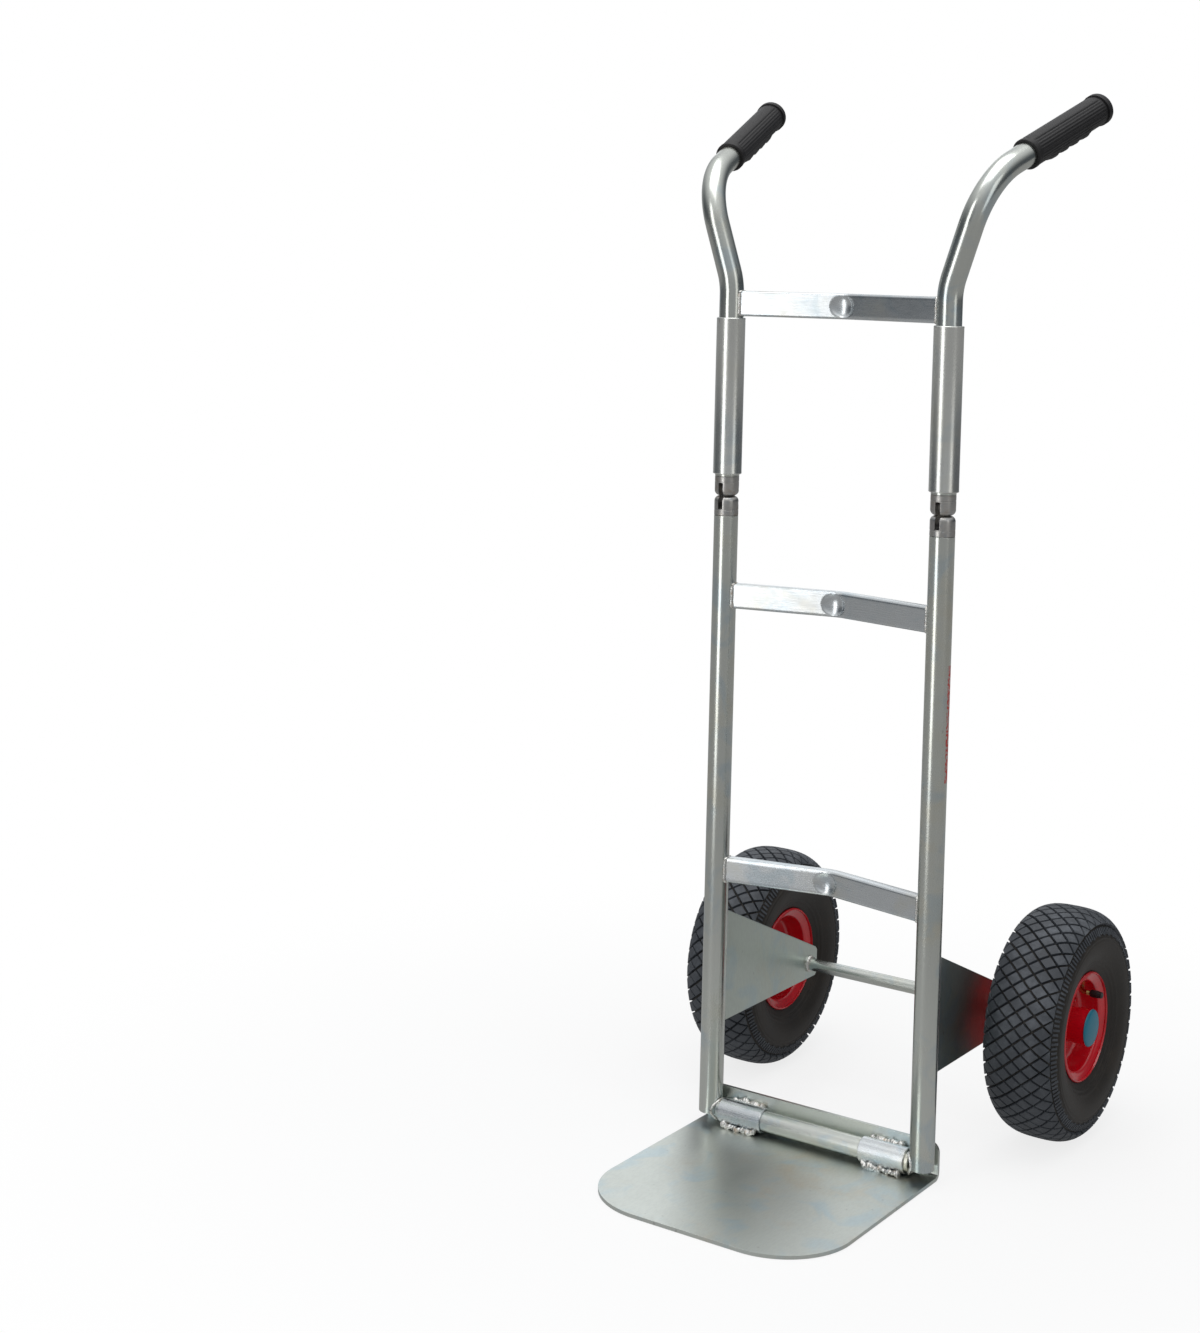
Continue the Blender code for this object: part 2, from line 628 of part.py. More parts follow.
def wheel(side, sign, metals):
    """One pneumatic wheel with every piece that turns with it."""
    centre = (sign * WHEEL_X, AXLE_Y, WHEEL_RADIUS)
    body = axis_empty(f"wheel_{side}", centre)
    add_piece(f"tyre_{side}", lathe_x(tyre_outline(), WHEEL_SIDES, centre), metals["rubber"], body)
    inner_tube(f"inner_tube_{side}", centre, metals["rubber"], body)
    rim_half(f"rim_outer_{side}", centre, sign, True, metals["red"], body)
    rim_half(f"rim_inner_{side}", centre, -sign, False, metals["red"], body)
    end = HUB_LENGTH / 2
    hub = ring_about_x(-end, end, BEARING_OD / 2 + WELD_GAP, HUB_OD / 2, RIM_SIDES, centre)
    add_piece(f"hub_{side}", hub, metals["red"], body)
    for place, way in (("outer", sign), ("inner", -sign)):
        near = way * (end - BEARING_INSET - BEARING_WIDTH)
        far = way * (end - BEARING_INSET)
        ring = ring_about_x(min(near, far), max(near, far), AXLE_DIAMETER / 2 + RUN_GAP, BEARING_OD / 2,
                            TUBE_SIDES, centre)
        add_piece(f"bearing_{place}_{side}", ring, metals["steel"], body)
    hub_cap(f"hub_cap_{side}", centre, sign, metals["teal"], body)
    valve(f"valve_{side}", centre, sign, metals["brass"], body)
    valve_cap(f"valve_cap_{side}", centre, sign, metals["plastic"], body)


def lower_frame(metals):
    body = axis_empty("lower_frame", (0, 0, 0))
    zinc, steel = metals["zinc"], metals["steel"]
    for side, sign in SIDES.items():
        x = sign * TRACK / 2
        tube = straight_tube(x, UPRIGHT_FOOT_Z, UPRIGHT_TOP_Z, TUBE_RADIUS, BORE_RADIUS, TUBE_SIDES)
        add_piece(f"upright_{side}", tube, zinc, body)
        end_plug(f"lower_plug_{side}", x, FOLD_Z - FACE_GAP / 2, 1, steel, body)
        hinge_pin(f"lower_pin_{side}", x, LOWER_PIN_Z, steel, body)
        gusset(f"gusset_{side}", x, zinc, body)
        near = TRACK / 2 + GUSSET_THICKNESS / 2 + WELD_GAP
        far = WHEEL_X - HUB_LENGTH / 2 + BEARING_INSET - RUN_GAP
        ends = sorted((sign * near, sign * far))
        spacer = ring_about_x(*ends, AXLE_DIAMETER / 2 + WELD_GAP, SPACER_OD / 2, TUBE_SIDES,
                              (0, AXLE_Y, WHEEL_RADIUS))
        add_piece(f"axle_spacer_{side}", spacer, zinc, body)
        near = WHEEL_X + HUB_LENGTH / 2 - BEARING_INSET + RUN_GAP
        ends = sorted((sign * near, sign * (near + RING_THICKNESS)))
        ring = ring_about_x(*ends, AXLE_DIAMETER / 2 + WELD_GAP, RING_OD / 2, TUBE_SIDES,
                            (0, AXLE_Y, WHEEL_RADIUS))
        add_piece(f"retaining_ring_{side}", ring, steel, body)
    crossbar("crossbar_lower", LOWER_BAR_Z, zinc, body)
    crossbar("crossbar_middle", MIDDLE_BAR_Z, zinc, body)
    reach = WHEEL_X + HUB_LENGTH / 2 - 0.002
    axle = bar_between((-reach, AXLE_Y, WHEEL_RADIUS), (reach, AXLE_Y, WHEEL_RADIUS), AXLE_DIAMETER / 2,
                       TUBE_SIDES)
    add_piece("axle", axle, zinc, body)
    toe_rod(zinc, body)


def toe_assembly(metals):
    body = axis_empty("toe_hinge", (0, 0, TOE_AXIS_Z))
    toe_plate(metals["plate"], body)
    for side, sign in SIDES.items():
        far = TRACK / 2 - TUBE_RADIUS - KNUCKLE_END_GAP
        ends = sorted((sign * far, sign * (far - KNUCKLE_LENGTH)))
        knuckle = ring_about_x(*ends, TOE_ROD_DIAMETER / 2 + RUN_GAP, KNUCKLE_OD / 2, TUBE_SIDES,
                               (0, 0, TOE_AXIS_Z))
        add_piece(f"toe_knuckle_{side}", knuckle, metals["zinc"], body)


def handle_frame(metals):
    body = axis_empty("handle_frame", (0, PIN_SETBACK, UPPER_PIN_Z))
    zinc, steel = metals["zinc"], metals["steel"]
    for side, sign in SIDES.items():
        x = sign * TRACK / 2
        handle_tube(f"handle_tube_{side}", sign, zinc, body)
        end_plug(f"upper_plug_{side}", x, FOLD_Z + FACE_GAP / 2, -1, steel, body)
        hinge_pin(f"upper_pin_{side}", x, UPPER_PIN_Z, steel, body)
        handle_grip(f"grip_{side}", sign, metals["rubber"], body)
    crossbar("crossbar_handle", HANDLE_BAR_Z, zinc, body)


def fold_links(metals):
    for side, sign in SIDES.items():
        body = axis_empty(f"link_axis_{side}", (sign * TRACK / 2, PIN_SETBACK, LOWER_PIN_Z))
        hinge_link(f"link_{side}", sign * TRACK / 2, metals["steel"], body)


def locking_sleeves(metals):
    for side, sign in SIDES.items():
        x = sign * TRACK / 2
        body = axis_empty(f"sleeve_axis_{side}", (x, 0, SLEEVE_TOP_Z))
        sleeve = straight_tube(x, SLEEVE_TOP_Z - SLEEVE_LENGTH, SLEEVE_TOP_Z, SLEEVE_OD / 2, SLEEVE_BORE / 2,
                               TUBE_SIDES)
        add_piece(f"sleeve_{side}", sleeve, metals["zinc"], body)


def build():
    clear_scene()
    metals = {
        "zinc": finish("bright_zinc", (0.60, 0.61, 0.59), 0.28, 1.0),
        "plate": finish("dull_zinc", (0.46, 0.48, 0.45), 0.45, 1.0),
        "steel": finish("plain_steel", (0.52, 0.51, 0.48), 0.35, 1.0),
        "red": finish("red_paint", (0.62, 0.01, 0.015), 0.30, 0.0),
        "rubber": finish("black_rubber", (0.025, 0.024, 0.024), 0.75, 0.0),
        "teal": finish("teal_plastic", (0.01, 0.17, 0.25), 0.30, 0.0),
        "brass": finish("brass", (0.55, 0.36, 0.14), 0.35, 1.0),
        "plastic": finish("black_plastic", (0.015, 0.015, 0.015), 0.50, 0.0),
    }
    lower_frame(metals)
    fold_links(metals)
    handle_frame(metals)
    locking_sleeves(metals)
    toe_assembly(metals)
    for side, sign in SIDES.items():
        wheel(side, sign, metals)


build()
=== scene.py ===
"""Looks for a folding hand truck with air-filled tyres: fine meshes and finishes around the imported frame."""

import math

import bmesh
import bpy
from mathutils import Matrix, Quaternion, Vector, noise


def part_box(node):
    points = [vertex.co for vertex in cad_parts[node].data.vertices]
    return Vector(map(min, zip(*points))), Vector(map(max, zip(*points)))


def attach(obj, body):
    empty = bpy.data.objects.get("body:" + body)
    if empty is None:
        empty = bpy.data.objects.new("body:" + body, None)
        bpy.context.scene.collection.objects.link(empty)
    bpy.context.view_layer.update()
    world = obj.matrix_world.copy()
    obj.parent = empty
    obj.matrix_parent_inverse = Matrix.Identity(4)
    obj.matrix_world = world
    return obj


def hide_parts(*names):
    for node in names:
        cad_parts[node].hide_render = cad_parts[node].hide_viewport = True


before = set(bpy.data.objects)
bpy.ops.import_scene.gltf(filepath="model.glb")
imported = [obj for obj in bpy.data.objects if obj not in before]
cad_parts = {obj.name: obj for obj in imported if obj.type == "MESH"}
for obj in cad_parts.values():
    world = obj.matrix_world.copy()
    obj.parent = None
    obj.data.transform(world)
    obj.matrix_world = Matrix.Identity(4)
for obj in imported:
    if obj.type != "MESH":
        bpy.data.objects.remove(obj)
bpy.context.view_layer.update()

# --- Sizes that the CAD boxes don't give, in metres ---
SIDES = {"left": -1, "right": 1}
FINE_SIDES = 56            # round a tube
WHEEL_STEPS = 132          # round a rim or a tyre's carcass
TUBE_WALL = 0.002
SPLAY_START_Z = 0.957
SPLAY_ANGLE = math.radians(18.1)
SPLAY_LENGTH = 0.1185
GRIP_RISE = math.radians(22.5)
GRIP_TOE_OUT = math.radians(10.3)
REACH = 0.225
HANDLE_BEND_RADIUS = 0.080
GRIP_LENGTH = 0.150
BAR_DEPTH = 0.014
BAR_CORNER = 0.0030
BAR_SETBACK = 0.028
BAR_BEND_RADIUS = 0.040
PIN_RADIUS = 0.0028
SLOT_WIDTH = 0.0056        # in a plug's head, for the fold link
FIT_GAP = 0.0003           # between a turned piece and what it fits on
VALVE_ANGLE = math.radians(44)
VALVE_RADIUS = 0.042


# --- Places read from the frame ---
def box_of(node):
    return [Vector(corner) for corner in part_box(node)]


def middle_of(node):
    low, high = box_of(node)
    return (low + high) / 2


def size_of(node):
    low, high = box_of(node)
    return high - low


TRACK = middle_of("upright_right").x - middle_of("upright_left").x
TUBE_RADIUS = size_of("upright_left").x / 2
AXLE = middle_of("axle")
AXLE_RADIUS = size_of("axle").z / 2


# --- Mesh building ---
def mesh_of(name, builder):
    mesh = bpy.data.meshes.new(name)
    builder.to_mesh(mesh)
    builder.free()
    return mesh


def new_object(name, contents):
    made = bpy.data.objects.new(name, contents)
    bpy.context.collection.objects.link(made)
    return made


def piece(name, builder, finish, body, stands_for=(), sharp=35, bevel=0.0):
    """The object NAME from a bmesh in the row frame, riding on its body."""
    bmesh.ops.recalc_face_normals(builder, faces=builder.faces)
    mesh = mesh_of(name, builder)
    mesh.shade_smooth()
    mesh.set_sharp_from_angle(angle=math.radians(sharp))
    mesh.materials.append(FINISH[finish])
    made = new_object(name, mesh)
    if bevel:
        rounding = made.modifiers.new("rounded_edges", "BEVEL")
        rounding.width, rounding.segments = bevel, 3
        rounding.limit_method, rounding.angle_limit = "ANGLE", math.radians(35)
        rounding.harden_normals = True
    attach(made, body)
    if stands_for:
        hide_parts(*stands_for)
    return made


def bridge(builder, rings, closed=False, capped=False):
    """Faces from each ring of points to the next, and on each end ring if capped."""
    pairs = list(zip(rings, rings[1:]))
    if closed:
        pairs.append((rings[-1], rings[0]))
    for first, second in pairs:
        for i in range(len(first)):
            j = (i + 1) % len(first)
            builder.faces.new((first[i], first[j], second[j], second[i]))
    if capped:
        builder.faces.new(rings[0])
        builder.faces.new(rings[-1])


def skin(rings, builder=None, closed=False):
    """A skin over rings of places, with a flat face on each end unless it closes on itself."""
    builder = builder or bmesh.new()
    rings = [[builder.verts.new(place) for place in ring] for ring in rings]
    bridge(builder, rings, closed=closed, capped=not closed)
    return builder


def circle(radius, sides=FINE_SIDES):
    return [
        (radius * math.cos(2 * math.pi * i / sides), radius * math.sin(2 * math.pi * i / sides))
        for i in range(sides)
    ]


def turned(profile, centre, steps, builder=None, closed=True):
    """A profile of (x, radius) turned about an axis along X. An open one is closed with flat ends."""
    return skin([[(centre[0] + x, centre[1] + u, centre[2] + v) for u, v in circle(radius, steps)]
                 for x, radius in profile], builder, closed)


def turned_upright(profile, centre, closed=False):
    """A profile of (z, radius) turned about an upright axis."""
    return skin([[(centre.x + u, centre.y + v, z) for u, v in circle(radius)] for z, radius in profile],
                closed=closed)


def turned_ring(low_x, high_x, bore, radius, edge):
    """The (x, radius) profile of a ring with its two outer edges broken."""
    return [(low_x, bore), (high_x, bore), (high_x, radius - edge), (high_x - edge, radius),
            (low_x + edge, radius), (low_x, radius - edge)]


def flat_sheet(outline, low, high):
    """A sheet of this (y, z) outline, as thick as the box from low to high."""
    return skin([[(x, y, z) for y, z in outline] for x in (low.x, high.x)])


def carried(path, section_at, across, builder=None, capped=True):
    """A section carried along (point, direction) pairs. section_at(i) is the section at step i."""
    builder = builder or bmesh.new()
    across = Vector(across)
    rings = []
    for i, (point, along) in enumerate(path):
        across = (across - along * across.dot(along)).normalized()
        up = along.cross(across)
        rings.append([builder.verts.new(point + across * u + up * v) for u, v in section_at(i)])
    bridge(builder, rings, capped=capped)
    return rings, builder


def rounded_path(corners, radii, step_angle, straight_step=None):
    """(point, direction) pairs through the corners, each inner corner turned into an arc."""
    corners = [Vector(corner) for corner in corners]
    path = [(corners[0], (corners[1] - corners[0]).normalized())]

    def run_to(place, along):
        start = path[-1][0]
        length = (place - start).length
        if straight_step and length > straight_step:
            count = round(length / straight_step)
            path.extend((start.lerp(place, i / count), along) for i in range(1, count))

    for before, corner, after, radius in zip(corners, corners[1:], corners[2:], radii):
        into, out = (corner - before).normalized(), (after - corner).normalized()
        turn = into.angle(out)
        start = corner - into * radius * math.tan(turn / 2)
        axis = into.cross(out).normalized()
        centre = start + axis.cross(into) * radius
        run_to(start, into)
        steps = max(3, round(turn / step_angle))
        for i in range(steps + 1):
            spin = Matrix.Rotation(turn * i / steps, 3, axis)
            path.append((centre + spin @ (start - centre), spin @ into))
    out = (corners[-1] - corners[-2]).normalized()
    run_to(corners[-1], out)
    path.append((corners[-1], out))
    return path


def smooth_line(points, per_span):
    """A Catmull-Rom line through the points."""
    points = [Vector(point) for point in points]
    ends = [2 * points[0] - points[1]] + points + [2 * points[-1] - points[-2]]
    line = []
    for a, b, c, d in zip(ends, ends[1:], ends[2:], ends[3:]):
        for i in range(per_span):
            t = i / per_span
            line.append(0.5 * (2 * b + (c - a) * t + (2 * a - 5 * b + 4 * c - d) * t * t
                               + (3 * b - a - 3 * c + d) * t ** 3))
    line.append(points[-1])
    return line


def frame_tube(path):
    """The frame's round tube along the path, open at its ends."""
    builder = bmesh.new()
    outside, inside = (carried(path, lambda i: circle(radius), (1, 0, 0), builder, capped=False)[0]
                       for radius in (TUBE_RADIUS, TUBE_RADIUS - TUBE_WALL))
    for end in (0, -1):
        bridge(builder, [outside[end], inside[end]])
    return builder


def straight(start, end):
    start, end = Vector(start), Vector(end)
    along = (end - start).normalized()
    return [(start, along), (end, along)]


def round_bar(start, end, radius, edge=0.0006, sides=FINE_SIDES):
    """A solid bar with a small chamfer at each end."""
    start, end = Vector(start), Vector(end)
    along = (end - start).normalized()
    path = [(start, along), (start + along * edge, along), (end - along * edge, along), (end, along)]
    radii = (radius - edge, radius, radius, radius - edge)
    across = Vector((0, 0, 1)) if abs(along.z) < 0.9 else Vector((1, 0, 0))
    return carried(path, lambda i: circle(radii[i], sides), across)[1]


def block(low, high):
    low, high = Vector(low), Vector(high)
    builder = bmesh.new()
    bmesh.ops.create_cube(builder, size=1, matrix=Matrix.Translation((low + high) / 2)
                          @ Matrix.Diagonal((*(high - low), 1)))
    return builder


def carve(shape, *tools):
    """Cuts the tools, bmeshes in the row frame, from the piece and keeps the result as its mesh."""
    cutters = []
    for tool in tools:
        bmesh.ops.recalc_face_normals(tool, faces=tool.faces)
        cutter = new_object("tool", mesh_of("tool", tool))
        cutters.append(cutter)
        modifier = shape.modifiers.new("cut", "BOOLEAN")
        modifier.operation, modifier.solver, modifier.object = "DIFFERENCE", "EXACT", cutter
    graph = bpy.context.evaluated_depsgraph_get()
    mesh = bpy.data.meshes.new_from_object(shape.evaluated_get(graph))
    shape.modifiers.clear()
    shape.data = mesh
    mesh.set_sharp_from_angle(angle=math.radians(35))
    for cutter in cutters:
        bpy.data.objects.remove(cutter, do_unlink=True)


def weld_bead(name, places, radius, body, closed=False, lumpy=0.25, ripple=0.0028):
    """A run of overlapping weld puddles along the places."""
    places = [Vector(place) for place in places]
    if closed:
        places.append(places[0])
    line, travelled = [places[0]], 0.0
    for start, end in zip(places, places[1:]):
        count = max(1, round((end - start).length / (ripple / 4)))
        line += [start.lerp(end, i / count) for i in range(1, count + 1)]
    if closed:
        line.pop()
    rings = []
    for i, place in enumerate(line):
        before = line[i - 1] if closed or i else place
        after = line[(i + 1) % len(line)] if closed or i < len(line) - 1 else place
        along = (after - before).normalized()
        travelled += (place - before).length if i else 0
        steady = Vector((0.31, 0.27, 0.91))
        if abs(steady.dot(along)) < 0.95:
            across = (steady - along * steady.dot(along)).normalized()
        else:
            across = along.orthogonal().normalized()
        up = along.cross(across)
        puddle = abs(math.sin(math.pi * travelled / ripple))
        bulge = 1 + lumpy * noise.noise(place * 150) + 0.10 * puddle - 0.05
        drift = Vector([noise.noise(place * 110 + Vector((k, 7 * k, 3))) for k in (1, 2, 3)])
        end = min(i, len(line) - 1 - i) if not closed else 9
        taper = math.sin(min(1, (end + 0.4) / 3.5) * math.pi / 2)
        rings.append([
            place + drift * radius * lumpy + (across * u + up * v) * taper * bulge
            * (1 + 0.3 * lumpy * noise.noise((place + across * u + up * v) * 900))
            for u, v in circle(radius, 12)
        ])
    piece(name, skin(rings, closed=closed), "weld", body, sharp=70)


# --- Node groups ---
def add(tree, kind, settings=None, **sockets):
    """A node of this kind. A socket, by name or number, is set, or linked if it is given another socket."""
    node = tree.nodes.new("ShaderNode" + kind)
    for key, value in (settings or {}).items():
        setattr(node, key, value)
    for key, value in sockets.items():
        socket = node.inputs[int(key[1:])] if key[0] == "_" else node.inputs[key.replace("_", " ")]
        if isinstance(value, bpy.types.NodeSocket):
            tree.links.new(value, socket)
        else:
            socket.default_value = value
    return node


def new_group(name, inputs, outputs):
    tree = bpy.data.node_groups.new(name, "ShaderNodeTree")
    for label, (kind, value) in inputs.items():
        socket = tree.interface.new_socket(label, in_out="INPUT", socket_type=kind)
        socket.default_value = value
    for label, kind in outputs.items():
        tree.interface.new_socket(label, in_out="OUTPUT", socket_type=kind)
    return tree, tree.nodes.new("NodeGroupInput").outputs, tree.nodes.new("NodeGroupOutput").inputs


def ramp(tree, value, low, high, to_low=0.0, to_high=1.0):
    return add(tree, "MapRange", {"interpolation_type": "SMOOTHSTEP"}, Value=value,
               From_Min=low, From_Max=high, To_Min=to_low, To_Max=to_high).outputs["Result"]


def blend_colour(tree, factor, first, second):
    return add(tree, "Mix", {"data_type": "RGBA"}, _0=factor, _6=first, _7=second).outputs[2]


def times(tree, first, second, operation="MULTIPLY"):
    return add(tree, "Math", {"operation": operation}, _0=first, _1=second).outputs[0]


def times_plus(tree, first, second, third):
    return add(tree, "Math", {"operation": "MULTIPLY_ADD"}, _0=first, _1=second, _2=third).outputs[0]


def on_piece(tree, stretch=None):
    """Places on the piece itself, which its finish is laid out by, stretched if need be."""
    place = add(tree, "TexCoord").outputs["Object"]
    if stretch is None:
        return place
    return add(tree, "VectorMath", {"operation": "MULTIPLY"}, _0=place, _1=stretch).outputs[0]


def grain(tree, scale, place=None, **settings):
    return add(tree, "TexNoise", Vector=place or on_piece(tree), Scale=scale, **settings).outputs["Fac"]


FLOAT, COLOUR, VECTOR = "NodeSocketFloat", "NodeSocketColor", "NodeSocketVector"


def stain_group():
    """Soft cloudy patches of a warm and a cool tint over a clean colour."""
    tree, given, out = new_group("stained_plating", {
        "Clean": (COLOUR, (0.7, 0.7, 0.7, 1)), "Warm": (COLOUR, (0.7, 0.6, 0.45, 1)),
        "Cool": (COLOUR, (0.5, 0.62, 0.72, 1)), "Size": (FLOAT, 8.0), "Amount": (FLOAT, 0.5),
    }, {"Colour": COLOUR, "Mask": FLOAT})
    cloud = grain(tree, given["Size"], Detail=5.0, Roughness=0.6)
    drift = grain(tree, times(tree, given["Size"], 2.7), Detail=3.0, Distortion=0.8)
    warm = times(tree, ramp(tree, cloud, 0.50, 0.72), given["Amount"])
    cool = times(tree, ramp(tree, drift, 0.50, 0.70), given["Amount"])
    tinted = blend_colour(tree, warm, given["Clean"], given["Warm"])
    tree.links.new(blend_colour(tree, cool, tinted, given["Cool"]), out["Colour"])
    tree.links.new(ramp(tree, cloud, 0.35, 0.70), out["Mask"])
    return tree


def brushed_group():
    """Fine lines drawn out along one direction: a mask of lines and their height."""
    tree, given, out = new_group("drawn_lines", {
        "Stretch": (VECTOR, (1.0, 1.0, 1.0)), "Fineness": (FLOAT, 400.0), "Contrast": (FLOAT, 0.5),
    }, {"Lines": FLOAT, "Height": FLOAT})
    lines = grain(tree, given["Fineness"], on_piece(tree, given["Stretch"]), Detail=4.0, Roughness=0.65)
    tree.links.new(times(tree, ramp(tree, lines, 0.35, 0.68), given["Contrast"]), out["Lines"])
    tree.links.new(lines, out["Height"])
    return tree


def dust_group():
    """Pale dust that lies on surfaces facing up and gathers in patches."""
    tree, given, out = new_group("settled_dust", {
        "Under": (COLOUR, (0.02, 0.02, 0.02, 1)), "Dust": (COLOUR, (0.3, 0.28, 0.25, 1)),
        "Amount": (FLOAT, 0.3), "Size": (FLOAT, 40.0),
    }, {"Colour": COLOUR, "Mask": FLOAT})
    patches = ramp(tree, grain(tree, given["Size"], Detail=6.0, Roughness=0.7), 0.42, 0.75)
    facing = add(tree, "SeparateXYZ", Vector=add(tree, "NewGeometry").outputs["Normal"]).outputs["Z"]
    upward = ramp(tree, facing, -0.6, 1.0, 0.35, 1.0)
    mask = times(tree, times(tree, patches, upward), given["Amount"])
    tree.links.new(blend_colour(tree, mask, given["Under"], given["Dust"]), out["Colour"])
    tree.links.new(mask, out["Mask"])
    return tree


def speck_group():
    """Small scattered marks, such as chips and pits: their mask and depth."""
    tree, given, out = new_group("scattered_marks", {
        "Density": (FLOAT, 90.0), "Rarity": (FLOAT, 0.16), "Stretch": (VECTOR, (1.0, 1.0, 1.0)),
    }, {"Marks": FLOAT, "Height": FLOAT})
    spread = on_piece(tree, given["Stretch"])
    warped = add(tree, "TexNoise", Vector=spread, Scale=140.0, Detail=2.0).outputs["Color"]
    moved = add(tree, "VectorMath", {"operation": "MULTIPLY_ADD"}, _0=warped, _1=(0.006, 0.006, 0.006),
                _2=spread).outputs[0]
    cells = add(tree, "TexVoronoi", {"feature": "F1"}, Vector=moved, Scale=given["Density"])
    spots = ramp(tree, cells.outputs["Distance"], 0.0, given["Rarity"], 1.0, 0.0)
    marks = times(tree, spots, ramp(tree, grain(tree, 21.0), 0.48, 0.6))
    tree.links.new(marks, out["Marks"])
    tree.links.new(times(tree, marks, -1.0), out["Height"])
    return tree


STAINS, LINES, DUST, MARKS = stain_group(), brushed_group(), dust_group(), speck_group()


def use(tree, group, **sockets):
    return add(tree, "Group", {"node_tree": group}, **sockets).outputs


def new_finish(name, **constants):
    finish = bpy.data.materials.new(name)
    finish.use_nodes = True
    shader = finish.node_tree.nodes["Principled BSDF"]
    for key, value in constants.items():
        shader.inputs[key.replace("_", " ")].default_value = value
    return finish, finish.node_tree, shader


def cover(tree, shader, colour, roughness):
    tree.links.new(colour, shader.inputs["Base Color"])
    tree.links.new(roughness, shader.inputs["Roughness"])


def raise_surface(tree, shader, height, distance):
    bump = add(tree, "Bump", Height=height, Distance=distance, Strength=1.0)
    tree.links.new(bump.outputs["Normal"], shader.inputs["Normal"])


# --- Finishes ---
def zinc_finish(name, size, amount, stretch, roughness, line_contrast, clean=(0.64, 0.66, 0.62, 1),
                warm=(0.62, 0.57, 0.43, 1), cool=(0.46, 0.56, 0.62, 1)):
    """Bright zinc plate: a clean grey with straw and blue patches, drawn lines and a few small dings."""
    finish, tree, shader = new_finish(name, Metallic=1.0)
    stains = use(tree, STAINS, Clean=clean, Warm=warm, Cool=cool, Size=size, Amount=amount)
    lines = use(tree, LINES, Stretch=stretch, Fineness=520.0, Contrast=line_contrast)
    marks = use(tree, MARKS, Density=75.0, Rarity=0.13, Stretch=(1.0, 1.0, 0.5))
    darker = blend_colour(tree, times(tree, lines["Lines"], 0.35), stains["Colour"], (0.36, 0.37, 0.37, 1))
    pitted = blend_colour(tree, times(tree, marks["Marks"], 0.45), darker, (0.24, 0.23, 0.21, 1))
    dull = times_plus(tree, stains["Mask"], 0.06, roughness)
    cover(tree, shader, pitted, times_plus(tree, lines["Lines"], 0.14, dull))
    raise_surface(tree, shader, lines["Height"], 0.000001)
    return finish


def steel_finish():
    finish, tree, shader = new_finish("turned_plain_steel", Metallic=1.0)
    lines = use(tree, LINES, Stretch=(1.0, 1.0, 8.0), Fineness=320.0, Contrast=0.8)
    stains = use(tree, STAINS, Clean=(0.50, 0.49, 0.47, 1), Warm=(0.36, 0.27, 0.19, 1),
                 Cool=(0.40, 0.43, 0.46, 1), Size=70.0, Amount=0.55)
    lined = blend_colour(tree, times(tree, lines["Lines"], 0.3), stains["Colour"], (0.2, 0.2, 0.2, 1))
    cover(tree, shader, lined, ramp(tree, stains["Mask"], 0.0, 1.0, 0.28, 0.46))
    raise_surface(tree, shader, lines["Height"], 0.00005)
    return finish


def weld_finish():
    """Weld metal under the plating: bright crests with brown flux and spatter in the hollows."""
    finish, tree, shader = new_finish("plated_weld", Metallic=1.0)
    stains = use(tree, STAINS, Clean=(0.74, 0.73, 0.70, 1), Warm=(0.40, 0.28, 0.17, 1),
                 Cool=(0.55, 0.58, 0.60, 1), Size=150.0, Amount=0.75)
    marks = use(tree, MARKS, Density=420.0, Rarity=0.35, Stretch=(1.0, 1.0, 1.0))
    spattered = blend_colour(tree, times(tree, marks["Marks"], 0.6), stains["Colour"], (0.2, 0.14, 0.09, 1))
    cover(tree, shader, spattered, ramp(tree, stains["Mask"], 0.0, 1.0, 0.22, 0.5))
    raise_surface(tree, shader, grain(tree, 900.0, Detail=4.0), 0.0004)
    return finish


def red_enamel():
    finish, tree, shader = new_finish("gloss_red_enamel", Coat_Weight=0.6, Coat_Roughness=0.08)
    dust = use(tree, DUST, Under=(0.66, 0.003, 0.014, 1), Dust=(0.45, 0.12, 0.10, 1), Amount=0.10, Size=60.0)
    marks = use(tree, MARKS, Density=120.0, Rarity=0.10, Stretch=(1.0, 1.0, 1.0))
    deep = use(tree, STAINS, Clean=dust["Colour"], Warm=(0.48, 0.002, 0.008, 1), Cool=(0.70, 0.008, 0.018, 1),
               Size=22.0, Amount=0.55)
    chipped = blend_colour(tree, times(tree, marks["Marks"], 0.8), deep["Colour"], (0.07, 0.01, 0.01, 1))
    cover(tree, shader, chipped, ramp(tree, dust["Mask"], 0.0, 0.3, 0.24, 0.5))
    raise_surface(tree, shader, grain(tree, 220.0, Detail=2.0), 0.00012)
    return finish


def rubber_finish(name, under, dust_and_sheen_colour, amount, size, roughness, grain_scale, grain_depth):
    finish, tree, shader = new_finish(name)
    # For the tread, the under colour and the colour laid on up-facing surfaces are partly dust and partly a
    # painted sheen.
    dust = use(tree, DUST, Under=under, Dust=dust_and_sheen_colour, Amount=amount, Size=size)
    marks = use(tree, MARKS, Density=160.0, Rarity=0.18, Stretch=(1.0, 1.0, 1.0))
    scuffed = blend_colour(tree, times(tree, marks["Marks"], 0.35), dust["Colour"], dust_and_sheen_colour)
    cover(tree, shader, scuffed, ramp(tree, dust["Mask"], 0.0, 0.5, roughness, roughness + 0.2))
    height = times(tree, grain(tree, grain_scale, Detail=5.0), marks["Height"], "ADD")
    raise_surface(tree, shader, height, grain_depth)
    return finish


def dusted_finish(name, colour, shade, amount, size, roughness, duller, fineness, **constants):
    """A smooth plain colour under dust, with a faint grain: moulded plastic, or a sticker."""
    finish, tree, shader = new_finish(name, **constants)
    dust = use(tree, DUST, Under=colour, Dust=shade, Amount=amount, Size=size)
    cover(tree, shader, dust["Colour"], ramp(tree, dust["Mask"], 0.0, 0.4, roughness, roughness + duller))
    lines = use(tree, LINES, Stretch=(1.0, 1.0, 1.0), Fineness=fineness, Contrast=0.4)
    raise_surface(tree, shader, lines["Height"], 0.00003)
    return finish


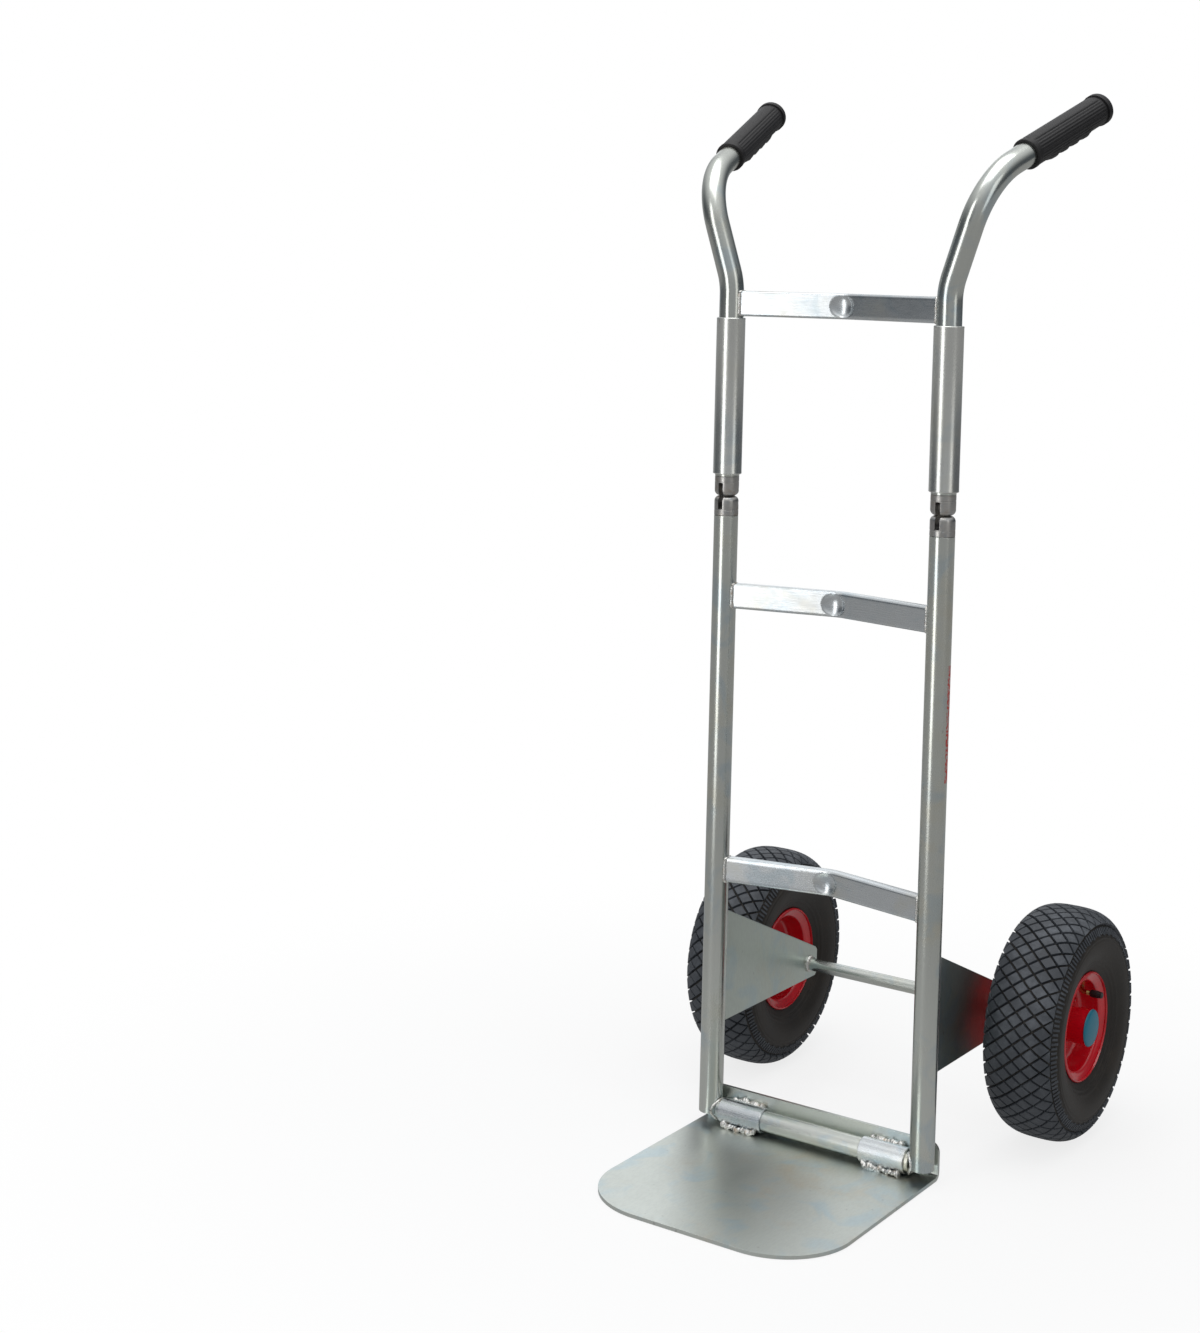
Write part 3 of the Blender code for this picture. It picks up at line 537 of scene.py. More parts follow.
def plastic_finish(name, colour, shade, roughness):
    return dusted_finish(name, colour, shade, 0.2, 90.0, roughness, 0.18, 700.0, Coat_Weight=0.1,
                         Coat_Roughness=0.2)


def brass_finish():
    finish, tree, shader = new_finish("dull_brass", Metallic=1.0)
    stains = use(tree, STAINS, Clean=(0.52, 0.36, 0.14, 1), Warm=(0.22, 0.13, 0.05, 1),
                 Cool=(0.34, 0.31, 0.14, 1), Size=160.0, Amount=0.8)
    cover(tree, shader, stains["Colour"], ramp(tree, stains["Mask"], 0.0, 1.0, 0.25, 0.5))
    return finish


def ink_finish():
    """A worn stripe of red marking ink: the plating shows where it has rubbed off."""
    finish, tree, shader = new_finish("worn_red_ink")
    worn = ramp(tree, grain(tree, 260.0, Detail=4.0, Roughness=0.7), 0.46, 0.58)
    cover(tree, shader, blend_colour(tree, worn, (0.52, 0.05, 0.04, 1), (0.62, 0.61, 0.58, 1)),
          ramp(tree, worn, 0.0, 1.0, 0.55, 0.32))
    tree.links.new(worn, shader.inputs["Metallic"])
    return finish


def floor_finish():
    """A white sweep that takes a soft shadow near the truck and fades to plain white further out. Polished
    pieces see it as a mid grey."""
    finish, tree, shader = new_finish("pale_floor", Roughness=0.8)
    shader.inputs["Base Color"].default_value = (0.9, 0.9, 0.9, 1)
    distance = add(tree, "VectorMath", {"operation": "LENGTH"}, _0=on_piece(tree)).outputs["Value"]
    seen = add(tree, "LightPath").outputs["Is Camera Ray"]
    glow = add(tree, "Emission", Color=(1, 1, 1, 1), Strength=ramp(tree, seen, 0.0, 1.0, 0.34, 1.0))
    mixed = add(tree, "MixShader", _0=ramp(tree, distance, 0.30, 1.1, 0.80, 1.0), _1=shader.outputs[0],
                _2=glow.outputs[0])
    tree.links.new(mixed.outputs[0], tree.nodes["Material Output"].inputs["Surface"])
    return finish


FINISH = {
    "tube": zinc_finish("bright_zinc_tube", 9.0, 0.55, (5.0, 5.0, 0.12), 0.20, 0.35),
    "rod": zinc_finish("bright_zinc_rod", 14.0, 0.55, (0.15, 5.0, 5.0), 0.20, 0.35),
    "bar": zinc_finish("bright_zinc_bar", 12.0, 0.5, (0.10, 0.4, 3.0), 0.22, 0.5,
                       clean=(0.68, 0.71, 0.73, 1)),
    "sleeve": zinc_finish("bright_zinc_sleeve", 7.0, 0.4, (5.0, 5.0, 0.1), 0.24, 0.25,
                          clean=(0.72, 0.73, 0.70, 1)),
    "plate": zinc_finish("dull_zinc_plate", 7.0, 0.7, (0.8, 0.25, 0.8), 0.32, 0.30, (0.64, 0.67, 0.63, 1),
                         (0.62, 0.54, 0.42, 1), (0.52, 0.63, 0.67, 1)),
    "gusset": zinc_finish("satin_zinc_gusset", 9.0, 0.6, (0.8, 0.8, 0.3), 0.29, 0.35, (0.56, 0.62, 0.57, 1),
                          (0.57, 0.55, 0.44, 1), (0.46, 0.57, 0.60, 1)),
    "steel": steel_finish(),
    "weld": weld_finish(),
    "red": red_enamel(),
    # The tread's blue-grey under colour and its pale blue-grey on up-facing blocks are partly dust and partly a
    # painted sheen.
    "tread": rubber_finish("dust_and_painted_sheen_tread_rubber", (0.046, 0.052, 0.062, 1), (0.20, 0.215, 0.24, 1), 0.6, 34.0,
                           0.55, 700.0, 0.0003),
    "carcass": rubber_finish("dark_sidewall_rubber", (0.013, 0.010, 0.007, 1), (0.065, 0.050, 0.036, 1), 0.5,
                             26.0, 0.52, 500.0, 0.0002),
    "grip": rubber_finish("moulded_grip_rubber", (0.008, 0.007, 0.008, 1), (0.05, 0.046, 0.046, 1), 0.15,
                          60.0, 0.48, 1100.0, 0.00025),
    "tube_rubber": rubber_finish("thin_tube_rubber", (0.02, 0.02, 0.02, 1), (0.06, 0.06, 0.06, 1), 0.3, 60.0,
                                 0.6, 900.0, 0.0001),
    "teal": plastic_finish("blue_green_plastic", (0.0, 0.17, 0.26, 1), (0.01, 0.22, 0.31, 1), 0.36),
    "black": plastic_finish("black_valve_plastic", (0.012, 0.012, 0.012, 1), (0.06, 0.06, 0.06, 1), 0.42),
    "brass": brass_finish(),
    "ink": ink_finish(),
    "label": dusted_finish("blank_white_label", (0.80, 0.80, 0.79, 1), (0.55, 0.53, 0.48, 1), 0.35, 50.0,
                           0.38, 0.22, 300.0),
    "floor": floor_finish(),
}


# --- Tubes, sleeves and crossbars ---
def upright(side, sign):
    low, high = box_of(f"upright_{side}")
    x = sign * TRACK / 2
    piece(f"upright_tube_{side}", frame_tube(straight((x, 0, low.z), (x, 0, high.z))), "tube",
          "lower_frame", (f"upright_{side}",), bevel=0.0003)


def sleeve(side):
    """A plain tube, rounded at its mouths and a hair wider at its two rims."""
    low, high = box_of(f"sleeve_{side}")
    centre = (low + high) / 2
    outer = (high.x - low.x) / 2
    bore, edge, rim_end, middle, rim_height = outer - TUBE_WALL, 0.0007, 0.0016, 0.002, 0.0001
    outline = [(low.z + edge, outer), (low.z, outer - edge), (low.z, bore + edge), (low.z + edge, bore),
               (high.z - edge, bore), (high.z, bore + edge), (high.z, outer - edge), (high.z - edge, outer),
               (high.z - rim_end, outer), (high.z - middle, outer - rim_height),
               (low.z + middle, outer - rim_height), (low.z + rim_end, outer)]
    piece(f"locking_sleeve_tube_{side}", turned_upright(outline, centre, closed=True), "sleeve",
          f"locking_sleeve_{side}", (f"sleeve_{side}",))


def rounded_oblong(depth, height, corner, front_points):
    """A box section in (across, up), its front at +across divided finely for the dimple."""
    half_depth, half_height = depth / 2, height / 2
    outline = []
    corners = ((half_depth, half_height, 0), (-half_depth, half_height, 1), (-half_depth, -half_height, 2),
               (half_depth, -half_height, 3))
    for x, y, quarter in corners:
        centre = (x - math.copysign(corner, x), y - math.copysign(corner, y))
        for i in range(6):
            angle = math.pi / 2 * (quarter + i / 5)
            outline.append((centre[0] + corner * math.cos(angle), centre[1] + corner * math.sin(angle)))
    low, high = -half_height + corner, half_height - corner
    outline += [(half_depth, low + (high - low) * i / front_points) for i in range(1, front_points)]
    return outline


def crossbar(node, body, name):
    low, high = box_of(node)
    height, middle_z = high.z - low.z, (low.z + high.z) / 2
    half = TRACK / 2
    inside = TUBE_RADIUS - 0.0022          # the bar's ends stop just through the tube's wall
    lean = math.atan2(BAR_SETBACK, half)
    start = Vector((-half + inside * math.cos(lean), inside * math.sin(lean), middle_z))
    end = Vector((-start.x, start.y, middle_z))
    corners = [start, (0, BAR_SETBACK, middle_z), end]
    path = rounded_path(corners, [BAR_BEND_RADIUS], math.radians(1.0), 0.0012)
    section = rounded_oblong(BAR_DEPTH, height, BAR_CORNER, 14)
    front = BAR_DEPTH / 2
    dimple_off_centre, dimple_half_width, dimple_half_height, dimple_depth = 0.004, 0.0150, 0.0120, 0.0034

    def dimpled(i):
        x = path[i][0].x
        points = []
        for u, v in section:
            if u > front - 0.0005:
                spread = ((x + dimple_off_centre) / dimple_half_width) ** 2 + (v / dimple_half_height) ** 2
                if spread < 1:
                    u -= dimple_depth * (1 - spread) ** 0.6
            points.append((u, v))
        return points

    _, builder = carried(path, dimpled, (0, -1, 0))
    piece(f"{name}_bar", builder, "bar", body, (node,))
    for side, sign in SIDES.items():
        seam = []
        for u, v in rounded_oblong(BAR_DEPTH, height, BAR_CORNER, 2):
            y = -u + 0.0019
            out = TUBE_RADIUS + 0.0004
            seam.append((sign * (half - math.sqrt(max(0, out ** 2 - y ** 2))), y, middle_z + 0.93 * v))
        weld_bead(f"weld_{name}_{side}", seam, 0.0018, body, closed=True)


def handle_corners(sign):
    half = TRACK / 2
    start = Vector((sign * half, 0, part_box(f"handle_tube_{'left' if sign < 0 else 'right'}")[0][2]))
    first = Vector((sign * half, 0, SPLAY_START_Z))
    second = first + SPLAY_LENGTH * Vector((sign * math.sin(SPLAY_ANGLE), 0, math.cos(SPLAY_ANGLE)))
    return start, first, second, second + REACH * grip_direction(sign)


def grip_direction(sign):
    level = math.cos(GRIP_RISE)
    return Vector((sign * level * math.sin(GRIP_TOE_OUT), level * math.cos(GRIP_TOE_OUT),
                   math.sin(GRIP_RISE)))


def handle_tube(side, sign):
    start, first, second, end = handle_corners(sign)
    end = end - grip_direction(sign) * 0.0035
    path = rounded_path([start, first, second, end], [HANDLE_BEND_RADIUS] * 2, math.radians(3))
    piece(f"bent_handle_tube_{side}", frame_tube(path), "tube", "handle_frame",
          (f"handle_tube_{side}",))


def grip_radius(depth, turn):
    """How far the grip's skin is from its axis: depth from its end, turn from its top."""
    plain_radius, groove_radius, knob_radius, collar_radius = 0.0164, 0.0160, 0.0178, 0.0170
    knob_end, groove_end, collar, collar_groove = 0.010, 0.0125, GRIP_LENGTH - 0.0045, GRIP_LENGTH - 0.0065
    turn = abs((turn + math.pi) % (2 * math.pi) - math.pi)
    if depth < knob_end:
        rounded_over, drop = 0.0042, 0.0046
        return knob_radius - drop * max(0, 1 - depth / rounded_over) ** 2.2
    if depth > collar:
        return collar_radius
    if depth < groove_end or depth > collar_groove:
        return groove_radius
    fade = min(1, (depth - groove_end) / 0.004, (collar_groove - depth) / 0.004)
    band, band_height, band_edge = math.radians(34), 0.0004, math.radians(5)
    if turn < band:
        return plain_radius + band_height * min(1, (band - turn) / band_edge) * fade
    flutes, flute_depth = 30, 0.0006
    radius = plain_radius - flute_depth * (0.5 + 0.5 * math.cos(flutes * turn)) * fade
    scallop_turn, scallop_start, scallop_end = math.radians(118), 0.040, 0.122
    if turn > scallop_turn and scallop_start < depth < scallop_end:
        scallop_pitch, scallop_height = 0.0205, 0.0024
        wave = abs(math.sin(math.pi * (depth - scallop_start) / scallop_pitch))
        radius += scallop_height * min(1, (turn - scallop_turn) / math.radians(30)) * wave ** 0.7
    return radius


def grip(side, sign):
    along = grip_direction(sign)
    end = handle_corners(sign)[3]
    across = Vector((0, 0, 1)).cross(along).normalized()
    up = along.cross(across)
    depths = [0.0, 0.0007, 0.0016, 0.0028, 0.0042, 0.0070, 0.0099, 0.0101, 0.0112, 0.0126]
    depths += [0.0126 + (GRIP_LENGTH - 0.0196) * i / 92 for i in range(1, 93)]
    depths += [GRIP_LENGTH - back for back in (0.0064, 0.0052, 0.0044, 0.0008, 0)]
    steps = 132
    rings = [[end - along * depth + across * u + up * v for u, v in circle(TUBE_RADIUS + FIT_GAP, steps)]
             for depth in (0.003, GRIP_LENGTH)]
    for depth in reversed(depths):
        ring = []
        for i in range(steps):
            angle = 2 * math.pi * i / steps
            radius = grip_radius(depth, angle - math.pi / 2)
            if depth > GRIP_LENGTH - 0.0006:
                radius -= 0.0006
            ring.append(end - along * depth + (across * math.cos(angle) + up * math.sin(angle)) * radius)
        rings.append(ring)
    piece(f"fluted_grip_{side}", skin(rings), "grip", "handle_frame", (f"grip_{side}",),
          sharp=50)


# --- Folding joint ---
def end_plug(node, body, way):
    """A turned plug with a rounded head: way is 1 where its head is its top, -1 where it is its foot."""
    low, high = box_of(node)
    centre = (low + high) / 2
    face = high.z if way > 0 else low.z
    radius, edge, length, spigot = TUBE_RADIUS, 0.0058, 0.0217, 0.014
    groove, groove_depth = 0.0150, 0.0003
    outline = []
    for i in range(9):
        angle = math.pi / 2 * i / 8
        outline.append((edge * (1 - math.cos(angle)), radius - edge * (1 - math.sin(angle))))
    outline += [(groove, radius), (groove + 0.0003, radius - groove_depth),
                (groove + 0.0007, radius - groove_depth), (groove + 0.0010, radius),
                (length - 0.0004, radius), (length, radius - 0.0004), (length, radius - TUBE_WALL - FIT_GAP),
                (length + spigot, radius - TUBE_WALL - FIT_GAP)]
    profile = [(face - way * depth, ring) for depth, ring in outline]
    made = piece(f"turned_{node}", turned_upright(profile, centre), "steel", body, (node,))
    pin = middle_of(node.replace("plug", "pin"))
    reach = Vector((TUBE_RADIUS * 2, 0, 0))
    ends = sorted((face + way * radius, face - way * 0.0145))
    half = SLOT_WIDTH / 2
    carve(made, block((centre.x - half, -0.03, ends[0]), (centre.x + half, 0.03, ends[1])),
          round_bar(pin - reach, pin + reach, PIN_RADIUS, sides=24))


def pivot_pin(node, body):
    low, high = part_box(node)
    y, z = (low[1] + high[1]) / 2, (low[2] + high[2]) / 2
    piece(f"turned_{node}", round_bar((low[0], y, z), (high[0], y, z), (high[2] - low[2]) / 2, 0.0005, 24),
          "steel", body, (node,))


def fold_link(side):
    """The flat link in the slots, with round ends about its two pins."""
    low, high = box_of(f"link_{side}")
    radius = (high.y - low.y) / 2
    centre_y = (low.y + high.y) / 2
    outline = []
    for centre_z, start in ((high.z - radius, 0), (low.z + radius, math.pi)):
        outline += [(centre_y + radius * math.cos(start + math.pi * i / 14),
                     centre_z + radius * math.sin(start + math.pi * i / 14)) for i in range(15)]
    made = piece(f"fold_link_plate_{side}", flat_sheet(outline, low, high), "steel",
                 f"fold_link_{side}", (f"link_{side}",))
    reach = 0.02
    carve(made, *(round_bar((low.x - reach, centre_y, z), (high.x + reach, centre_y, z), PIN_RADIUS, sides=24)
                  for z in (high.z - radius, low.z + radius)))


# --- Axle brackets ---
def gusset(side, sign):
    low, high = box_of(f"gusset_{side}")
    tail = 0.016
    outline = [(low.y, low.z), (high.y - 0.004, AXLE.z - tail - 0.0016), (high.y, AXLE.z - tail + 0.002),
               (high.y, AXLE.z + tail - 0.002), (high.y - 0.004, AXLE.z + tail + 0.0022), (low.y, high.z)]
    made = piece(f"gusset_plate_{side}", flat_sheet(outline, low, high), "gusset", "lower_frame",
                 (f"gusset_{side}",))
    reach = 0.01
    carve(made, round_bar((low.x - reach, AXLE.y, AXLE.z), (high.x + reach, AXLE.y, AXLE.z),
                          AXLE_RADIUS + 0.0002))
    made.modifiers.new("rounded_edges", "BEVEL")
    made.modifiers[-1].width, made.modifiers[-1].segments = 0.0006, 2
    inner_x = low.x if sign > 0 else high.x
    around = [(inner_x - sign * 0.0008, AXLE.y + u, AXLE.z + v) for u, v in circle(AXLE_RADIUS + 0.0006, 28)]
    weld_bead(f"weld_axle_{side}", around, 0.0027, "lower_frame", closed=True, lumpy=0.5)
    outer_x = high.x if sign > 0 else low.x
    seam_y = math.sqrt(TUBE_RADIUS ** 2 - 0.003 ** 2)
    seam = [(outer_x + sign * 0.0004, seam_y + 0.0002, low.z + 0.002 + (high.z - low.z - 0.004) * i / 20)
            for i in range(21)]
    weld_bead(f"weld_gusset_{side}", seam, 0.0019, "lower_frame")
    for place, z in (("top", high.z), ("foot", low.z)):
        seam = [(middle_of(f"gusset_{side}").x + t, seam_y + 0.0004, z) for t in (-0.003, 0, 0.003)]
        weld_bead(f"weld_gusset_{place}_{side}", seam, 0.0018, "lower_frame")


def axle_pieces():
    low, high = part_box("axle")
    piece("axle_rod", round_bar((low[0], AXLE.y, AXLE.z), (high[0], AXLE.y, AXLE.z), AXLE_RADIUS, 0.001),
          "rod", "lower_frame", ("axle",))
    for side in SIDES:
        for node, finish, slot_name, bevel in (("axle_spacer", "tube", "zinc_tube", 0.0005),
                                               ("retaining_ring", "steel", "plain_steel", 0.0002)):
            low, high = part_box(f"{node}_{side}")
            radius = (high[2] - low[2]) / 2
            ring = turned_ring(low[0], high[0], AXLE_RADIUS + FIT_GAP, radius, bevel)
            piece(f"turned_{node}_{side}", turned(ring, (0, AXLE.y, AXLE.z), 40), finish,
                  "lower_frame", (f"{node}_{side}",))


# --- Toe plate ---
def toe_plate():
    """One bent sheet with round front corners, and a flange that stands behind the uprights."""
    low, high = box_of("toe_plate")
    sheet, half_width, corner, lip = 0.004, (high.x - low.x) / 2, 0.082, 0.012
    half_sheet = sheet / 2
    bend = 0.004 + half_sheet
    flange_y = high.y - half_sheet
    rows = []
    for i in range(33):
        angle = math.pi / 2 * i / 32
        rows.append((low.y + corner * (1 - math.cos(angle)), low.z + half_sheet,
                     half_width - corner * (1 - math.sin(angle)), Vector((0, 1))))
    for i in range(1, 24):
        y = low.y + corner + (flange_y - bend - low.y - corner) * i / 24
        rows.append((y, low.z + half_sheet, half_width, Vector((0, 1))))
    for i in range(11):
        angle = math.pi / 2 * i / 10
        rows.append((flange_y - bend * (1 - math.sin(angle)),
                     low.z + half_sheet + bend * (1 - math.cos(angle)), half_width,
                     Vector((-math.sin(angle), math.cos(angle)))))
    for i in range(13):
        angle = math.pi / 2 * i / 12
        rows.append((flange_y, high.z - lip * (1 - math.sin(angle)), half_width - lip * (1 - math.cos(angle)),
                     Vector((-1, 0))))
    rings = []
    for y, z, reach, normal in rows:
        top, under = Vector((y, z)) + normal * half_sheet, Vector((y, z)) - normal * half_sheet
        rings.append([(-reach, *top), (reach, *top), (reach, *under), (-reach, *under)])
    piece("toe_plate_sheet", skin(rings), "plate", "toe", ("toe_plate",), bevel=0.0006)


def toe_hinge():
    axis = middle_of("toe_knuckle_left")
    rod_radius = size_of("toe_rod").z / 2
    half = TRACK / 2 - TUBE_RADIUS + 0.0015
    piece("toe_hinge_rod", round_bar((-half, 0, axis.z), (half, 0, axis.z), rod_radius), "rod",
          "lower_frame", ("toe_rod",))
    for side, sign in SIDES.items():
        low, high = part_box(f"toe_knuckle_{side}")
        radius = (high[2] - low[2]) / 2
        ring = turned_ring(low[0], high[0], rod_radius + FIT_GAP, radius, 0.0007)
        piece(f"toe_knuckle_tube_{side}", turned(ring, (0, 0, axis.z), FINE_SIDES), "bar", "toe",
              (f"toe_knuckle_{side}",))
        reach = 0.006 if sign < 0 else 0.002
        seam = [(low[0] + 0.004 + (high[0] - low[0] - 0.008) * i / 12, -radius * 0.80,
                 axis.z - radius * 0.88 + 0.0010 * math.sin(2.3 * i)) for i in range(13)]
        weld_bead(f"weld_knuckle_front_{side}", seam, 0.0040, "toe", lumpy=0.7)
        seam = [(low[0] + reach + (high[0] - low[0] - 0.012) * i / 12, radius * 0.82,
                 axis.z + radius * 0.72 + 0.0012 * math.sin(1.7 * i)) for i in range(13)]
        weld_bead(f"weld_knuckle_rear_{side}", seam, 0.0037, "toe", lumpy=0.7)
        around = [(sign * (TRACK / 2 - math.sqrt(TUBE_RADIUS ** 2 - y ** 2)), y, axis.z + z)
                  for y, z in circle(rod_radius, 30)]
        weld_bead(f"weld_rod_{side}", around, 0.0017, "lower_frame", closed=True, lumpy=0.3)


# --- Wheels ---
TYRE_SECTION = [(0, 0.1258), (0.012, 0.1255), (0.0215, 0.1241), (0.0300, 0.1204), (0.0368, 0.1135),
                (0.0412, 0.1050), (0.0430, 0.0962), (0.0420, 0.0868), (0.0387, 0.0775), (0.0345, 0.0693),
                (0.0302, 0.0618), (0.0268, 0.0566), (0.0247, 0.0545)]
SECTION_RADIUS = 0.130     # over the tread of a tyre of this section
TREAD_HEIGHT = 0.0042
TREAD_PITCH = 46           # diamonds round the tyre
TREAD_ROW = 0.0100         # across the tread, from one row of diamonds to the next
DIAMOND = [(1, 0), (0.5, 0.5), (0, 1), (-0.5, 0.5), (-1, 0), (-0.5, -0.5), (0, -1), (0.5, -0.5)]
HALF_DIAMOND = [(0, 1), (0.5, 0.5), (1, 0), (0.5, -0.5), (0, -1)]
RIM_SECTION = [(0.0323, 0.0592), (0.0319, 0.0603), (0.0310, 0.0608), (0.0300, 0.0600), (0.0280, 0.0560),
               (0.0264, 0.0522), (0.0240, 0.0510), (0.0120, 0.0498), (0.0070, 0.0490), (0.0036, 0.0470),
               (0.0022, 0.0435), (0.0021, 0.0360), (0.0028, 0.0325), (0.0050, 0.0290), (0.0062, 0.0262),
               (0.0064, 0.0203)]


class Crown:
    """The tyre's half section, read by distance from its middle line, on the wheel about a centre."""

    def __init__(self, centre, scale):
        self.centre, self.scale = centre, scale
        self.line = [Vector((x, r)) for x, r, _ in smooth_line([(x, r, 0) for x, r in TYRE_SECTION], 10)]
        self.reach = [0.0]
        for before, after in zip(self.line, self.line[1:]):
            self.reach.append(self.reach[-1] + (after - before).length)

    def at(self, distance):
        """(x, radius) and the outward normal there. Negative distances are on the other side."""
        sign = -1 if distance < 0 else 1
        distance = abs(distance)
        i = 1
        while i < len(self.reach) - 1 and self.reach[i] < distance:
            i += 1
        part = (distance - self.reach[i - 1]) / (self.reach[i] - self.reach[i - 1])
        place = self.line[i - 1].lerp(self.line[i], part)
        run = (self.line[i] - self.line[i - 1]).normalized()
        return Vector((sign * place.x, place.y)), Vector((-sign * run.y, run.x))

    def spot(self, distance, angle, height):
        """The place at this distance and turn, this high over the section."""
        place, normal = self.at(distance)
        place = (place + normal * height) * self.scale
        return self.centre + Vector((place.x, place.y * math.cos(angle), place.y * math.sin(angle)))


def tyre_carcass(side, crown):
    """The tyre's body, with thin moulded rings on its sidewalls and a step at its bead."""
    rings = ((0.0545, 0.0010), (0.0578, 0.0008), (0.0820, 0.0011), (0.0868, 0.0010))
    ring_half_width = 0.0011
    outside = []
    for i in range(-74, 75):
        distance = crown.reach[-1] * i / 74
        place, normal = crown.at(distance)
        raised = sum(height * max(0, 1 - abs(abs(distance) - ring_at) / ring_half_width)
                     for ring_at, height in rings)
        place = place + normal * raised
        outside.append((place.x * crown.scale, place.y * crown.scale))
    lining = [(x * 0.86, r - 0.004 if r > 0.07 else r + 0.0005) for x, r in outside[::-1]]
    piece(f"tyre_carcass_{side}", turned(outside + lining, crown.centre, WHEEL_STEPS), "carcass",
          f"wheel_{side}", (f"tyre_{side}",), sharp=60)


def tyre_tread(side, crown):
    """Diamond blocks, each a low frustum with a slightly crowned top, and short ribs on the shoulders."""
    builder = bmesh.new()
    pitch = 2 * math.pi / TREAD_PITCH
    for row in range(-4, 5):
        middle = row * TREAD_ROW
        for column in range(TREAD_PITCH):
            turn = (column + 0.5 * (row % 2)) * pitch
            shape, centre_of = DIAMOND, 0.0
            if abs(row) == 4:
                inward = -1 if row > 0 else 1
                shape = [(inward * across, along) for across, along in HALF_DIAMOND]
                centre_of = inward * 0.3
            levels = []
            for part, height in ((0.89, -0.0008), (0.83, TREAD_HEIGHT - 0.0007), (0.78, TREAD_HEIGHT)):
                ring = []
                for across, along in shape:
                    distance = middle + TREAD_ROW * (centre_of + part * (across - centre_of))
                    ring.append(builder.verts.new(crown.spot(distance, turn + pitch / 2 * part * along, height)))
                levels.append(ring)
            bridge(builder, levels)
            builder.faces.new(levels[0][::-1])
            peak = builder.verts.new(crown.spot(middle + TREAD_ROW * centre_of, turn, TREAD_HEIGHT))
            for a, b in zip(levels[2], levels[2][1:] + levels[2][:1]):
                builder.faces.new((a, b, peak))
    for sign in (-1, 1):
        for column in range(3 * TREAD_PITCH):
            turn = (column + 0.5) * pitch / 3
            start, end = (0.0420, 0.0500) if column % 3 else (0.0415, 0.0515)
            levels = []
            for part, height in ((1.0, -0.0005), (0.78, 0.0013)):
                wide = pitch / 3 * 0.30 * part
                inset = 0.0008 * (1 - part)
                corners = ((start + inset, -wide), (start + inset, wide), (end - inset, wide),
                           (end - inset, -wide))
                levels.append([crown.spot(sign * across, turn + along, height) for across, along in corners])
            skin(levels, builder)
    piece(f"tyre_tread_{side}", builder, "tread", f"wheel_{side}", (f"tyre_{side}",), sharp=28)


def rim(side, sign, centre):
    """Two pressed halves with rolled lips, riveted back to back in the middle of the wheel."""
    half_sheet, half_gap = 0.0009, 0.0005
    fine = smooth_line([(x, r, 0) for x, r in RIM_SECTION], 4)
    for node, way in (("rim_outer", sign), ("rim_inner", -sign)):
        front, back = [], []
        for i, point in enumerate(fine):
            run = (fine[min(i + 1, len(fine) - 1)] - fine[max(i - 1, 0)]).normalized()
            normal = Vector((-run.y, run.x, 0)) * half_sheet
            front.append((way * (point.x + normal.x), point.y + normal.y))
            back.append((way * max(half_gap, point.x - normal.x), point.y - normal.y))
        piece(f"pressed_{node}_{side}", turned(front + back[::-1], centre, WHEEL_STEPS), "red",
              f"wheel_{side}", (f"{node}_{side}",), sharp=40)
    low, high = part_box(f"hub_{side}")
    half, outer, bore, edge = (high[0] - low[0]) / 2, (high[2] - low[2]) / 2, 0.0178, 0.0006
    ridge_foot, ridge_top, ridge_height = 0.0085, 0.0070, 0.0018
    outline = [(-half, bore), (half, bore), (half, outer - edge), (half - edge, outer), (ridge_foot, outer),
               (ridge_top, outer + ridge_height), (-ridge_top, outer + ridge_height), (-ridge_foot, outer),
               (-half + edge, outer), (-half, outer - edge)]
    piece(f"hub_barrel_{side}", turned(outline, centre, 64), "red", f"wheel_{side}", (f"hub_{side}",))
    builder = bmesh.new()
    rivet_circle, first_rivet = 0.0395, math.radians(20)
    head = ((0.0024, 0.0042), (0.0038, 0.0040), (0.0050, 0.0030), (0.0055, 0.0010))
    for i in range(4):
        angle = math.pi / 2 * i + first_rivet
        spot = centre + rivet_circle * Vector((0, math.cos(angle), math.sin(angle)))
        for way in (-1, 1):
            turned([(way * x, radius) for x, radius in head], spot, 16, builder, closed=False)
    piece(f"rim_rivets_{side}", builder, "red", f"wheel_{side}")


def bearings(side):
    for place in ("outer", "inner"):
        low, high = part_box(f"bearing_{place}_{side}")
        outer, bore = (high[2] - low[2]) / 2, AXLE_RADIUS + FIT_GAP
        edge, groove = 0.0004, 0.0007
        face = [(0, bore), (0, bore + 0.0028), (groove, bore + 0.0030), (groove, outer - 0.0027),
                (0, outer - 0.0025), (0, outer - edge), (edge, outer)]
        outline = [(high[0] - inset, radius) for inset, radius in face]
        outline += [(low[0] + inset, radius) for inset, radius in reversed(face)]
        piece(f"ball_bearing_{place}_{side}", turned(outline, (0, AXLE.y, AXLE.z), 48), "steel",
              f"wheel_{side}", (f"bearing_{place}_{side}",))


def hub_cap(side, sign, centre):
    low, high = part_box(f"hub_cap_{side}")
    outer_face = high[0] if sign > 0 else low[0]
    inner_face = low[0] if sign > 0 else high[0]
    radius = (high[2] - low[2]) / 2
    depth = abs(outer_face - (centre[0] + sign * 0.0373))
    base = outer_face - sign * depth
    outline = [(inner_face, 0.0162), (inner_face, 0.0172), (base, 0.0172), (base, radius - 0.0003),
               (base + sign * 0.0003, radius)]
    outline += [(base + sign * (0.0009 + (depth - 0.0009) * math.sin(math.pi / 2 * i / 9)),
                 radius * (0.03 + 0.95 * math.cos(math.pi / 2 * i / 9))) for i in range(10)]
    placed = [(x - centre[0], r) for x, r in outline]
    piece(f"domed_hub_cap_{side}", turned(placed, centre, 56, closed=False), "teal", f"wheel_{side}",
          (f"hub_cap_{side}",))


